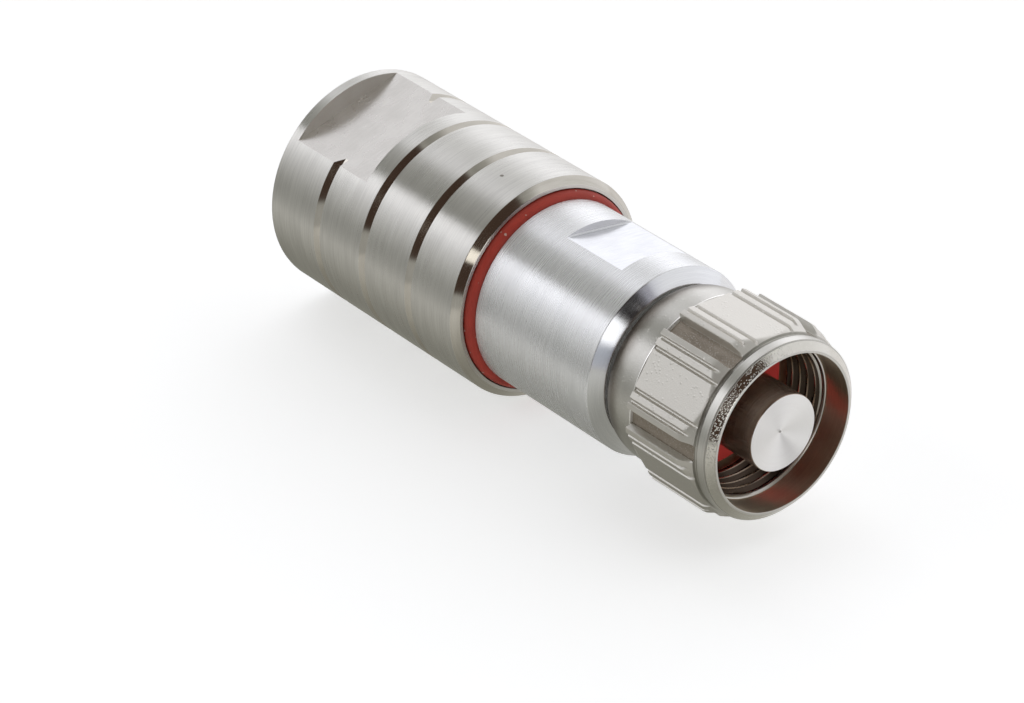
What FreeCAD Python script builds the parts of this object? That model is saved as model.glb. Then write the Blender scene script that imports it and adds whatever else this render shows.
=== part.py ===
import FreeCAD, Part
import math
import os
import re
import Sketcher

# Coaxial cable plug, standing on its cable end: the origin is the centre of the rear face and +Z runs
# along the axis to the mating end. A back nut closes on a slotted collet that grips a corrugated cable.
# The front body carries the insulators and the silver contact. A coupling nut turns on its neck.
# Sizes are in millimetres, angles in degrees, and heights are measured from the rear face.

# An outline's corners start here, round a small circle, until their sizes place them.
START = FreeCAD.Vector(20, 40, 0)
START_RADIUS = 8
# Lengths closer than this count as equal.
NEAR = 0.01

doc = FreeCAD.newDocument("coaxial_plug")
sheet = doc.addObject("Spreadsheet::Sheet", "Sizes")

SIZES = {
    # clearances between neighbours
    "free_gap": 0.3,
    "slip_gap": 0.05,
    "running_gap": 0.06,
    # how far a cutter's outline runs past the surface it cuts
    "overrun": 1.0,
    # cable that the plug is made for
    "cable_radius": 6.7,
    # back nut
    "back_wall": 1.1,
    "mouth_depth": 2.0,
    "back_edge": 0.2,
    "back_bevel": 0.55,
    "rim_width": 1.25,
    "flat_count": 2,
    "back_flat_depth": 1.95,
    "back_flat_length": 11.3,
    "line_width": 1.05,
    "line_depth": 0.45,
    "first_line": 7.7,
    "line_spacing": 7.45,
    "entry_play": 0.3,
    "entry_depth": 2.2,
    "entry_bevel": 0.4,
    "seat_room": 1.75,
    "screw_play": 0.45,
    "screw_setback": 0.9,
    # rear seal and its washer
    "seal_wall": 1.5,
    "seal_length": 6.0,
    "lip_height": 0.35,
    "lip_count": 3,
    "washer_width": 1.45,
    "washer_thickness": 1.0,
    # slotted collet and the spring ring round its fingers
    "flange_length": 2.2,
    "finger_inset": 0.25,
    "finger_wall": 1.15,
    "finger_length": 8.25,
    "bead_height": 0.5,
    "bead_length": 1.1,
    "nose_height": 0.3,
    "nose_length": 1.4,
    "nose_play": 0.35,
    "slot_width": 0.8,
    "slot_count": 8,
    "slot_base": 1.1,
    "spring_wire": 0.35,
    "spring_seat_depth": 0.4,
    "spring_setback": 3.4,
    # front body
    "spigot_wall": 0.95,
    "spigot_length": 13.8,
    "spigot_lead": 0.5,
    "relief_depth": 0.25,
    "relief_length": 1.55,
    "shoulder_step": 0.62,
    "body_length": 19.35,
    "body_edge": 0.12,
    "front_flat_depth": 0.87,
    "front_flat_setback": 11.55,
    "front_flat_length": 8.15,
    "front_flat_fillet": 0.45,
    "front_turn": -24.0,
    "neck_wall": 1.4,
    "neck_length": 6.8,
    "face_ring_width": 0.35,
    "face_ring_length": 0.75,
    "throat_play": 0.65,
    "throat_step": 1.4,
    "throat_length": 9.2,
    # red ring between back nut and front body
    "ring_section": 0.93,
    "ring_stand_out": 0.68,
    "ring_land": 0.71,
    # clamping cone pressed into the front body
    "cone_width": 3.0,
    "cone_tip": 0.5,
    "cone_height": 2.3,
    "cone_rim": 1.35,
    # insulators, their clip and the sleeve between them
    "clip_thickness": 0.7,
    "clip_depth": 0.5,
    "clip_width": 0.9,
    "clip_opening": 40.0,
    "rear_insulator_length": 3.0,
    "insulator_hole_radius": 0.9,
    "insulator_hole_ring": 3.9,
    "insulator_hole_count": 6,
    "front_insulator_length": 7.9,
    "sleeve_wall": 0.7,
    # contact and its socket
    "contact_radius": 3.95,
    "contact_setback": 0.1,
    "contact_head_length": 12.2,
    "contact_edge": 0.14,
    "dish_depth": 0.4,
    "pip_radius": 0.16,
    "pip_height": 0.2,
    "stem_radius": 1.8,
    "stud_radius": 1.1,
    "stud_length": 2.8,
    "socket_bore": 1.8,
    "socket_wall": 0.8,
    "socket_length": 8.6,
    "socket_web": 2.9,
    "socket_slot": 0.5,
    "socket_slot_count": 4,
    "socket_slot_length": 4.6,
    "guide_wall": 0.7,
    "guide_length": 4.4,
    "guide_flare": 1.1,
    # sealing rings at the mating end
    "gasket_thickness": 1.0,
    "neck_seal_section": 0.33,
    "neck_seal_setback": 2.3,
    "neck_washer_thickness": 0.8,
    "neck_washer_width": 0.6,
    # ring that holds the coupling nut
    "snap_thickness": 1.0,
    "snap_setback": 2.35,
    "snap_depth": 0.7,
    "snap_reach": 0.55,
    "snap_opening": 24.0,
    # coupling nut
    "nut_rear_gap": 1.25,
    "thread_step": 0.54,
    "thread_length": 5.2,
    "mouth_step": 0.11,
    "mouth_length": 3.15,
    "mouth_above_gasket": 8.8,
    "lip_width": 0.45,
    "lip_bevel_width": 0.65,
    "lip_bevel_height": 0.3,
    "nut_line_depth": 0.14,
    "nut_line_width": 0.12,
    "nut_neck_length": 2.0,
    "nut_relief_depth": 0.3,
    "nut_relief_width": 0.3,
    "tail_step": 1.0,
    "collar_step": 0.2,
    "collar_taper": 2.6,
    "knurl_length": 8.7,
    "knurl_height": 0.7,
    "knurl_taper": 1.5,
    "side_count": 6,
    "face_height": 0.05,
    "inner_groove_angle": 13.0,
    "outer_groove_angle": 19.3,
    "groove_half_width": 0.24,
    "groove_depth": 0.36,
    "channel_width": 1.45,
    "channel_depth": 0.45,
    "nut_turn": -18.9,
}

# radii and heights that follow from the pieces inside and below, each written once
DERIVED = {
    # radii outwards from the cable
    "entry_radius": "cable_radius + entry_play",
    "seat_radius": "cable_radius + seat_room",
    "seal_radius": "seat_radius - slip_gap",
    "seal_bore": "seal_radius - seal_wall",
    "washer_bore": "seal_radius - washer_width",
    "finger_bore": "cable_radius - finger_inset",
    "finger_radius": "finger_bore + finger_wall",
    "bead_radius": "finger_bore - bead_height",
    "nose_radius": "finger_radius + nose_height",
    "spigot_bore": "nose_radius + nose_play",
    "spigot_radius": "spigot_bore + spigot_wall",
    "screw_wall_radius": "spigot_radius + screw_play",
    "body_radius": "spigot_radius + shoulder_step",
    "ring_centre_radius": "body_radius + ring_stand_out - ring_section",
    "mouth_wall_radius": "body_radius + ring_stand_out + 2 * slip_gap",
    "back_radius": "mouth_wall_radius + back_wall",
    "back_across_flats": "2 * (back_radius - back_flat_depth)",
    "front_across_flats": "2 * (body_radius - front_flat_depth)",
    "cone_bore": "spigot_bore - slip_gap - cone_width",
    # radii outwards from the contact
    "throat_radius": "contact_radius + throat_play",
    "face_ring_radius": "throat_radius + face_ring_width",
    "insulator_bore": "throat_radius + throat_step",
    "neck_radius": "insulator_bore + neck_wall",
    "gasket_radius": "neck_radius - slip_gap",
    "snap_groove_radius": "neck_radius - snap_depth",
    "snap_outer_radius": "neck_radius + snap_reach",
    "socket_radius": "socket_bore + socket_wall",
    "nut_bore_radius": "neck_radius + running_gap",
    "thread_wall_radius": "neck_radius + thread_step",
    "mouth_radius": "thread_wall_radius + mouth_step",
    "lip_radius": "mouth_radius + lip_width",
    "nut_neck_radius": "lip_radius + lip_bevel_width",
    "nut_relief_radius": "nut_neck_radius - nut_relief_depth",
    "collar_radius": "nut_neck_radius + collar_step",
    "nut_tail_radius": "collar_radius - tail_step",
    "knurl_radius": "collar_radius + knurl_height",
    "nut_across_flats": "2 * (collar_radius + face_height)",
    "channel_radius": "collar_radius - channel_depth",
    "half_side_angle": "180 / side_count",
    # heights inside the back nut
    "seal_top": "entry_depth + seal_length",
    "lip_pitch": "seal_length / lip_count",
    "washer_bottom": "seal_top + slip_gap",
    "washer_top": "washer_bottom + washer_thickness",
    "flange_bottom": "washer_top + free_gap",
    "flange_top": "flange_bottom + flange_length",
    "collet_top": "flange_top + finger_length",
    "screw_bottom": "flange_top + screw_setback",
    "spigot_bottom": "screw_bottom + free_gap",
    "spigot_top": "spigot_bottom + spigot_length",
    "shoulder_bottom": "spigot_top + relief_length",
    "mouth_floor": "shoulder_bottom - free_gap",
    "back_length": "mouth_floor + mouth_depth",
    "ring_height": "shoulder_bottom + ring_land + ring_section",
    "ring_groove_top": "ring_height + ring_section",
    # heights along the front body
    "body_front": "shoulder_bottom + body_length",
    "front_flat_start": "body_front - front_flat_setback",
    "neck_top": "body_front + neck_length",
    "throat_bottom": "neck_top + face_ring_length - throat_length",
    "cone_bottom": "collet_top + free_gap",
    "cone_top": "cone_bottom + cone_height + cone_rim",
    "cavity_top": "cone_top + slip_gap",
    "clip_bottom": "cavity_top + clip_width / 2",
    "rear_insulator_bottom": "clip_bottom + clip_width",
    "rear_insulator_top": "rear_insulator_bottom + rear_insulator_length",
    "sleeve_bottom": "rear_insulator_top + slip_gap",
    "front_insulator_bottom": "throat_bottom - slip_gap - front_insulator_length",
    "sleeve_top": "front_insulator_bottom - slip_gap",
    "snap_height": "neck_top - snap_setback",
    "neck_seal_height": "snap_height - neck_seal_setback",
    "gasket_bottom": "neck_top + slip_gap",
    "gasket_top": "gasket_bottom + gasket_thickness",
    # heights along the coupling nut and the contact
    "nut_rear": "body_front + nut_rear_gap",
    "nut_front": "gasket_top + mouth_above_gasket",
    "knurl_end": "nut_front - nut_neck_length",
    "knurl_start": "knurl_end - knurl_length",
    "thread_end": "nut_front - mouth_length",
    "thread_start": "thread_end - thread_length",
    "contact_face": "nut_front - contact_setback",
    "head_bottom": "contact_face - contact_head_length",
    "insulator_spigot_top": "head_bottom - slip_gap",
    "socket_top": "rear_insulator_bottom - slip_gap",
    "socket_bottom": "socket_top - socket_length",
}

values = {}


def enter_sizes():
    """Write every size and every derived one into the sheet, with its name as alias."""
    row = 1
    for name, value in SIZES.items():
        sheet.set(f"A{row}", name.replace("_", " "))
        sheet.set(f"B{row}", str(value))
        sheet.setAlias(f"B{row}", name)
        row += 1
    for name, formula in DERIVED.items():
        sheet.set(f"A{row}", name.replace("_", " "))
        sheet.set(f"B{row}", "=" + formula)
        sheet.setAlias(f"B{row}", name)
        row += 1
    doc.recompute()
    for name in list(SIZES) + list(DERIVED):
        values[name] = float(getattr(sheet, name))


def linked(formula):
    """The same formula with each size name pointing into the sheet."""
    def point(word):
        name = word.group(0)
        return "Sizes." + name if name in values else name

    return re.sub(r"[a-z_]{3,}", point, formula)


def bind(item, path, formula):
    item.setExpression(path, linked(formula))


def plane_of(body, role):
    return next(item for item in body.Origin.OriginFeatures if item.Role == role)


def new_body(name):
    body = doc.addObject("PartDesign::Body", name)
    body.Label = name
    return body


def new_sketch(body, name, role, height=None):
    """A sketch on one of the body's own planes, lifted to a height where one is given."""
    sketch = body.newObject("Sketcher::SketchObject", name)
    sketch.AttachmentSupport = [(plane_of(body, role), "")]
    sketch.MapMode = "FlatFace"
    if height:
        bind(sketch, "AttachmentOffset.Base.z", height)
    return sketch


def add_outline(sketch, corners):
    """Closed outline through corners, each a pair of formulas for its place in the sketch."""
    first = sketch.GeometryCount
    count = len(corners)
    steps = [math.tau * i / count for i in range(count)]
    spots = [START + FreeCAD.Vector(math.cos(step), math.sin(step), 0) * START_RADIUS for step in steps]
    for i in range(count):
        sketch.addGeometry(Part.LineSegment(spots[i], spots[(i + 1) % count]), False)
    for i in range(count):
        sketch.addConstraint(Sketcher.Constraint("Coincident", first + i, 2, first + (i + 1) % count, 1))
    for i, (across, along) in enumerate(corners):
        for kind, formula in (("DistanceX", across), ("DistanceY", along)):
            if formula == "0":
                axis = -2 if kind == "DistanceX" else -1
                sketch.addConstraint(Sketcher.Constraint("PointOnObject", first + i, 1, axis))
            else:
                spot = spots[i].x if kind == "DistanceX" else spots[i].y
                index = sketch.addConstraint(Sketcher.Constraint(kind, -1, 1, first + i, 1, spot))
                bind(sketch, f"Constraints[{index}]", formula)


def add_circle(sketch, across, along, radius):
    """Circle with its centre and radius given as formulas."""
    circle = sketch.addGeometry(Part.Circle(START, FreeCAD.Vector(0, 0, 1), 1), False)
    for kind, formula, spot in (("DistanceX", across, START.x), ("DistanceY", along, START.y)):
        if formula == "0":
            axis = -2 if kind == "DistanceX" else -1
            sketch.addConstraint(Sketcher.Constraint("PointOnObject", circle, 3, axis))
        else:
            index = sketch.addConstraint(Sketcher.Constraint(kind, -1, 1, circle, 3, spot))
            bind(sketch, f"Constraints[{index}]", formula)
    index = sketch.addConstraint(Sketcher.Constraint("Radius", circle, 1))
    bind(sketch, f"Constraints[{index}]", radius)


def turned(name, section, sweep="360"):
    """Body turned about the axis from a section of (radius, height) corners."""
    body = new_body(name)
    sketch = new_sketch(body, name + "_section", "XZ_Plane")
    add_outline(sketch, section)
    turning = body.newObject("PartDesign::Revolution", name + "_turning")
    turning.Profile = sketch
    turning.ReferenceAxis = (sketch, ["V_Axis"])
    bind(turning, "Angle", sweep)
    body.Tip = turning
    return body


def turned_cut(body, name, sections):
    """Grooves turned into the body, one for each section of (radius, height) corners."""
    sketch = new_sketch(body, name + "_section", "XZ_Plane")
    for section in sections:
        add_outline(sketch, section)
    groove = body.newObject("PartDesign::Groove", name)
    groove.Profile = sketch
    groove.ReferenceAxis = (sketch, ["V_Axis"])
    groove.Angle = 360
    body.Tip = groove
    return groove


def milled(body, name, height, length, outlines):
    """Pocket cut upwards from a height, through outlines of (across, along) corners."""
    before = body.Tip
    sketch = new_sketch(body, name + "_outline", "XY_Plane", height)
    for outline in outlines:
        add_outline(sketch, outline)
    pocket = body.newObject("PartDesign::Pocket", name)
    pocket.Profile = sketch
    bind(pocket, "Length", length)
    pocket.Reversed = True
    body.Tip = pocket
    doc.recompute()
    if pocket.Shape.Volume > before.Shape.Volume - NEAR:
        raise RuntimeError(name + " cuts nothing")
    return pocket


def repeat_round(body, name, features, count):
    """The features repeated evenly round the axis."""
    pattern = body.newObject("PartDesign::PolarPattern", name)
    pattern.Originals = features
    pattern.Axis = (plane_of(body, "Z_Axis"), [""])
    pattern.Angle = 360
    bind(pattern, "Occurrences", count)
    body.Tip = pattern
    doc.recompute()
    return pattern


def edges_where(shape, test):
    return [f"Edge{i + 1}" for i, edge in enumerate(shape.Edges) if test(edge)]


def is_ring(edge, radius, height):
    """True for a circle of that radius about the axis, at that height."""
    curve = edge.Curve
    return (curve.TypeId == "Part::GeomCircle" and abs(curve.Radius - radius) < NEAR
            and abs(curve.Center.z - height) < NEAR and math.hypot(curve.Center.x, curve.Center.y) < NEAR)


def dress(body, kind, name, size, test):
    """Fillet or chamfer on the edges that pass the test."""
    base = body.Tip
    doc.recompute()
    names = edges_where(base.Shape, test)
    if not names:
        raise RuntimeError(name + " finds no edge")
    feature = body.newObject("PartDesign::" + kind, name)
    feature.Base = (base, names)
    bind(feature, "Radius" if kind == "Fillet" else "Size", size)
    body.Tip = feature
    doc.recompute()
    return feature


def ring(name, centre_radius, section_radius, height):
    """Round ring of round section about the axis."""
    torus = doc.addObject("Part::Torus", name)
    torus.Label = name
    bind(torus, "Radius1", centre_radius)
    bind(torus, "Radius2", section_radius)
    bind(torus, "Placement.Base.z", height)
    return torus


def box_section(inner, outer, bottom, top):
    """Corners of a plain ring's section."""
    return [(inner, bottom), (outer, bottom), (outer, top), (inner, top)]


def turn_about_axis(body, angle):
    """Turn the finished body about the axis by an angle from the sheet."""
    body.Placement = FreeCAD.Placement(FreeCAD.Vector(), FreeCAD.Rotation(FreeCAD.Vector(0, 0, 1), 1))
    bind(body, "Placement.Rotation.Angle", angle)


def wrench_flats(body, name, across, outer, height, length):
    """Two parallel flats milled across a round body."""
    side = f"{outer} + overrun"
    pocket = milled(body, name, height, length, [[
        (f"-({side})", f"-({across}) / 2"),
        (side, f"-({across}) / 2"),
        (side, f"-({side})"),
        (f"-({side})", f"-({side})"),
    ]])
    return repeat_round(body, name + "_pair", [pocket], "flat_count")


def make_back_nut():
    """Clamping nut: flats near the rear rim, three turned lines, bevelled front mouth for the red ring."""
    body = turned("back_nut", [
        ("entry_radius", "0"),
        ("back_radius", "0"),
        ("back_radius", "back_length"),
        ("mouth_wall_radius", "back_length"),
        ("mouth_wall_radius", "mouth_floor"),
        ("screw_wall_radius", "mouth_floor"),
        ("screw_wall_radius", "screw_bottom"),
        ("seat_radius", "screw_bottom"),
        ("seat_radius", "entry_depth"),
        ("entry_radius", "entry_depth"),
    ])
    radius = values["back_radius"]
    dress(body, "Chamfer", "front_bevel", "back_bevel", lambda e: is_ring(e, radius, values["back_length"]))
    dress(body, "Fillet", "rear_edge", "back_edge", lambda e: is_ring(e, radius, 0))
    dress(body, "Chamfer", "entry_lead", "entry_bevel", lambda e: is_ring(e, values["entry_radius"], 0))
    lines = []
    for number in range(3):
        middle = f"first_line + {number} * line_spacing"
        lines.append([
            ("back_radius + overrun", f"{middle} - line_width / 2"),
            ("back_radius", f"{middle} - line_width / 2"),
            ("back_radius - line_depth", f"{middle} - line_width / 4"),
            ("back_radius - line_depth", f"{middle} + line_width / 4"),
            ("back_radius", f"{middle} + line_width / 2"),
            ("back_radius + overrun", f"{middle} + line_width / 2"),
        ])
    turned_cut(body, "turned_lines", lines)
    wrench_flats(body, "rear_flat", "back_across_flats", "back_radius", "rim_width", "back_flat_length")


def make_entry_seal():
    """Rubber seal with three inner lips that close on the cable jacket."""
    section = [("seal_bore", "entry_depth"), ("seal_radius", "entry_depth"),
               ("seal_radius", "seal_top"), ("seal_bore", "seal_top")]
    for number in reversed(range(SIZES["lip_count"])):
        middle = f"entry_depth + {number + 0.5} * lip_pitch"
        section.append(("seal_bore", f"{middle} + lip_pitch / 4"))
        section.append(("seal_bore - lip_height", middle))
        section.append(("seal_bore", f"{middle} - lip_pitch / 4"))
    turned("entry_seal", section)


def make_seal_washer():
    turned("seal_washer", box_section("washer_bore", "seal_radius", "washer_bottom", "washer_top"))


def make_clamp_collet():
    """Flanged collet with sprung fingers, an inner bead for the cable's last groove and a coned nose."""
    body = turned("clamp_collet", [
        ("finger_bore", "flange_bottom"),
        ("seat_radius - free_gap", "flange_bottom"),
        ("seat_radius - free_gap", "flange_top"),
        ("finger_radius", "flange_top"),
        ("finger_radius", "collet_top - nose_length - free_gap"),
        ("nose_radius", "collet_top - nose_length"),
        ("nose_radius", "collet_top - nose_length / 2"),
        ("nose_radius - nose_length / 2", "collet_top"),
        ("bead_radius + slip_gap", "collet_top"),
        ("bead_radius", "collet_top - bead_length / 4"),
        ("bead_radius", "collet_top - bead_length"),
        ("finger_bore", "collet_top - bead_length - (finger_bore - bead_radius)"),
    ])
    spring_middle = "collet_top - spring_setback"
    turned_cut(body, "spring_seat", [[
        ("finger_radius - spring_seat_depth", f"{spring_middle} - spring_wire"),
        ("finger_radius + overrun", f"{spring_middle} - spring_wire"),
        ("finger_radius + overrun", f"{spring_middle} + spring_wire"),
        ("finger_radius - spring_seat_depth", f"{spring_middle} + spring_wire"),
    ]])
    slot = milled(body, "finger_slot", "flange_top + slot_base", "finger_length", [[
        ("-slot_width / 2", "-bead_radius / 2"),
        ("slot_width / 2", "-bead_radius / 2"),
        ("slot_width / 2", "-nose_radius - overrun"),
        ("-slot_width / 2", "-nose_radius - overrun"),
    ]])
    repeat_round(body, "finger_slots", [slot], "slot_count")


def make_front_body():
    """Front body: threaded spigot behind, groove for the red ring, flats, and the neck for the nut."""
    body = turned("front_body", [
        ("spigot_bore", "spigot_bottom"),
        ("spigot_radius - spigot_lead", "spigot_bottom"),
        ("spigot_radius", "spigot_bottom + spigot_lead"),
        ("spigot_radius", "spigot_top"),
        ("spigot_radius - relief_depth", "spigot_top + relief_depth"),
        ("spigot_radius - relief_depth", "shoulder_bottom"),
        ("body_radius", "shoulder_bottom"),
        ("body_radius", "ring_height - ring_section"),
        ("ring_centre_radius - ring_section", "ring_height - ring_section"),
        ("ring_centre_radius - ring_section", "ring_groove_top"),
        ("body_radius", "ring_groove_top"),
        ("body_radius", "body_front"),
        ("neck_radius", "body_front"),
        ("neck_radius", "neck_top"),
        ("face_ring_radius", "neck_top"),
        ("face_ring_radius", "neck_top + face_ring_length"),
        ("throat_radius", "neck_top + face_ring_length"),
        ("throat_radius", "throat_bottom"),
        ("insulator_bore", "throat_bottom"),
        ("insulator_bore", "cavity_top"),
        ("spigot_bore", "cavity_top"),
    ])
    dress(body, "Fillet", "front_edge", "body_edge",
          lambda e: is_ring(e, values["body_radius"], values["body_front"]))
    snap_bottom = "snap_height - snap_thickness / 2 - slip_gap"
    snap_top = "snap_height + snap_thickness / 2 + slip_gap"
    turned_cut(body, "neck_grooves", [
        box_section("snap_groove_radius", "neck_radius + overrun", snap_bottom, snap_top),
        box_section("neck_radius - 2 * neck_seal_section - slip_gap", "neck_radius + overrun",
                    "neck_seal_height - neck_seal_section - slip_gap",
                    "neck_seal_height + neck_seal_section + slip_gap"),
        box_section("insulator_bore - overrun", "insulator_bore + clip_depth",
                    "clip_bottom", "clip_bottom + clip_width"),
    ])
    wrench_flats(body, "front_flat", "front_across_flats", "body_radius",
                 "front_flat_start", "front_flat_length")
    start = values["front_flat_start"]
    plane = values["front_across_flats"] / 2
    dress(body, "Fillet", "flat_corner", "front_flat_fillet",
          lambda e: e.Curve.TypeId == "Part::GeomLine" and abs(e.CenterOfMass.z - start) < NEAR
          and abs(abs(e.CenterOfMass.y) - plane) < NEAR)
    turn_about_axis(body, "front_turn")


def make_clamp_cone():
    """Brass cone pressed into the front body: its point enters the flared end of the cable's shield."""
    turned("clamp_cone", [
        ("cone_bore", "cone_bottom"),
        ("cone_bore + cone_tip", "cone_bottom"),
        ("spigot_bore - slip_gap", "cone_bottom + cone_height"),
        ("spigot_bore - slip_gap", "cone_top"),
        ("cone_bore", "cone_top"),
    ])


def make_insulator_clip():
    middle = "clip_bottom + clip_width / 2"
    turned("insulator_clip",
           box_section("insulator_bore - clip_thickness", "insulator_bore + clip_depth - slip_gap",
                       f"{middle} - clip_thickness / 2", f"{middle} + clip_thickness / 2"),
           "360 - clip_opening")


def make_rear_insulator():
    """White disc that centres the stem, pierced by a ring of holes."""
    body = turned("rear_insulator", box_section("stem_radius + slip_gap", "insulator_bore - slip_gap",
                                                "rear_insulator_bottom", "rear_insulator_top"))
    sketch = new_sketch(body, "air_hole_outline", "XY_Plane", "rear_insulator_bottom")
    add_circle(sketch, "insulator_hole_ring", "0", "insulator_hole_radius")
    hole = body.newObject("PartDesign::Pocket", "air_hole")
    hole.Profile = sketch
    bind(hole, "Length", "rear_insulator_length")
    hole.Reversed = True
    body.Tip = hole
    repeat_round(body, "air_holes", [hole], "insulator_hole_count")


def make_spacer_sleeve():
    outer = "insulator_bore - slip_gap"
    turned("spacer_sleeve", box_section(outer + " - sleeve_wall", outer, "sleeve_bottom", "sleeve_top"))


def make_front_insulator():
    """White insulator whose front spigot fills the throat and carries the contact's head."""
    turned("front_insulator", [
        ("stem_radius + slip_gap", "front_insulator_bottom"),
        ("insulator_bore - slip_gap", "front_insulator_bottom"),
        ("insulator_bore - slip_gap", "throat_bottom - slip_gap"),
        ("throat_radius - slip_gap", "throat_bottom - slip_gap"),
        ("throat_radius - slip_gap", "insulator_spigot_top"),
        ("stem_radius + slip_gap", "insulator_spigot_top"),
    ])


def make_centre_contact():
    """Silver contact: a stud and stem behind a solid head, its face dished to a small centre pip."""
    turned("centre_contact", [
        ("0", "socket_top - stud_length"),
        ("stud_radius", "socket_top - stud_length"),
        ("stud_radius", "socket_top"),
        ("stem_radius", "socket_top"),
        ("stem_radius", "head_bottom"),
        ("contact_radius", "head_bottom"),
        ("contact_radius", "contact_face - contact_edge"),
        ("contact_radius - contact_edge", "contact_face"),
        ("pip_radius", "contact_face - dish_depth"),
        ("pip_radius / 2", "contact_face - dish_depth + pip_height"),
        ("0", "contact_face - dish_depth + pip_height"),
    ])


def make_contact_socket():
    """Slotted socket for the cable's inner conductor, screwed on the stud behind the insulator."""
    body = turned("contact_socket", [
        ("socket_bore", "socket_bottom"),
        ("socket_radius", "socket_bottom"),
        ("socket_radius", "socket_top"),
        ("stud_radius + slip_gap / 2", "socket_top"),
        ("stud_radius + slip_gap / 2", "socket_top - socket_web"),
        ("socket_bore", "socket_top - socket_web"),
    ])
    slot = milled(body, "socket_slot_cut", "socket_bottom", "socket_slot_length", [[
        ("-socket_slot / 2", "-socket_bore / 2"),
        ("socket_slot / 2", "-socket_bore / 2"),
        ("socket_slot / 2", "-socket_radius - overrun"),
        ("-socket_slot / 2", "-socket_radius - overrun"),
    ]])
    repeat_round(body, "socket_slots", [slot], "socket_slot_count")


def make_socket_guide():
    """Plastic guide round the socket's mouth, flared to catch the conductor's end."""
    turned("socket_guide", [
        ("socket_radius + slip_gap", "socket_bottom"),
        ("socket_radius + slip_gap - guide_flare / 4", "socket_bottom - slip_gap"),
        ("socket_radius + guide_wall", "socket_bottom - guide_flare"),
        ("socket_radius + 2 * guide_wall", "socket_bottom - guide_flare"),
        ("socket_radius + 2 * guide_wall", "socket_bottom"),
        ("socket_radius + guide_wall", "socket_bottom + guide_flare"),
        ("socket_radius + guide_wall", "socket_bottom + guide_length"),
        ("socket_radius + slip_gap", "socket_bottom + guide_length"),
    ])


def make_neck_washer():
    """Slip washer behind the coupling nut, on the neck."""
    inner = "neck_radius + slip_gap"
    bottom = "body_front + slip_gap"
    turned("neck_washer", box_section(inner, inner + " + neck_washer_width",
                                      bottom, bottom + " + neck_washer_thickness"))


def make_snap_ring():
    """Split ring in the neck's groove that holds the coupling nut."""
    turned("snap_ring", box_section("snap_groove_radius + slip_gap", "snap_outer_radius",
                                    "snap_height - snap_thickness / 2", "snap_height + snap_thickness / 2"),
           "360 - snap_opening")


def make_face_gasket():
    turned("face_gasket", box_section("face_ring_radius + slip_gap", "gasket_radius",
                                      "gasket_bottom", "gasket_top"))


def knurl_outline():
    """One side of the six: a flat face with two small grooves by each corner."""
    face = "-nut_across_flats / 2"
    floor = "-nut_across_flats / 2 + groove_depth"
    outside = "-knurl_radius - 2 * overrun"
    half_side = "nut_across_flats / 2 * tan(half_side_angle * 1 deg)"
    corners = [("-" + half_side, outside), ("-" + half_side, face)]
    for side, angles in (("-", ("outer_groove_angle", "inner_groove_angle")),
                         ("", ("inner_groove_angle", "outer_groove_angle"))):
        for angle in angles:
            middle = f"{side}nut_across_flats / 2 * tan({angle} * 1 deg)"
            corners.append((f"{middle} - groove_half_width", face))
            corners.append((f"{middle} - groove_half_width / 3", floor))
            corners.append((f"{middle} + groove_half_width / 3", floor))
            corners.append((f"{middle} + groove_half_width", face))
    corners.append((half_side, face))
    corners.append((half_side, outside))
    return corners


def corner_channel():
    """Flat-bottomed channel along a corner between two faces, half a side round from a face."""
    cosine = "cos(half_side_angle * 1 deg)"
    sine = "sin(half_side_angle * 1 deg)"
    outside = "(knurl_radius + 2 * overrun)"
    corners = []
    for across, out in (("(-channel_width / 2)", "channel_radius"), ("channel_width / 2", "channel_radius"),
                        ("channel_width / 2", outside), ("(-channel_width / 2)", outside)):
        corners.append((f"{across} * {cosine} + {out} * {sine}", f"{across} * {sine} - {out} * {cosine}"))
    return corners


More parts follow.
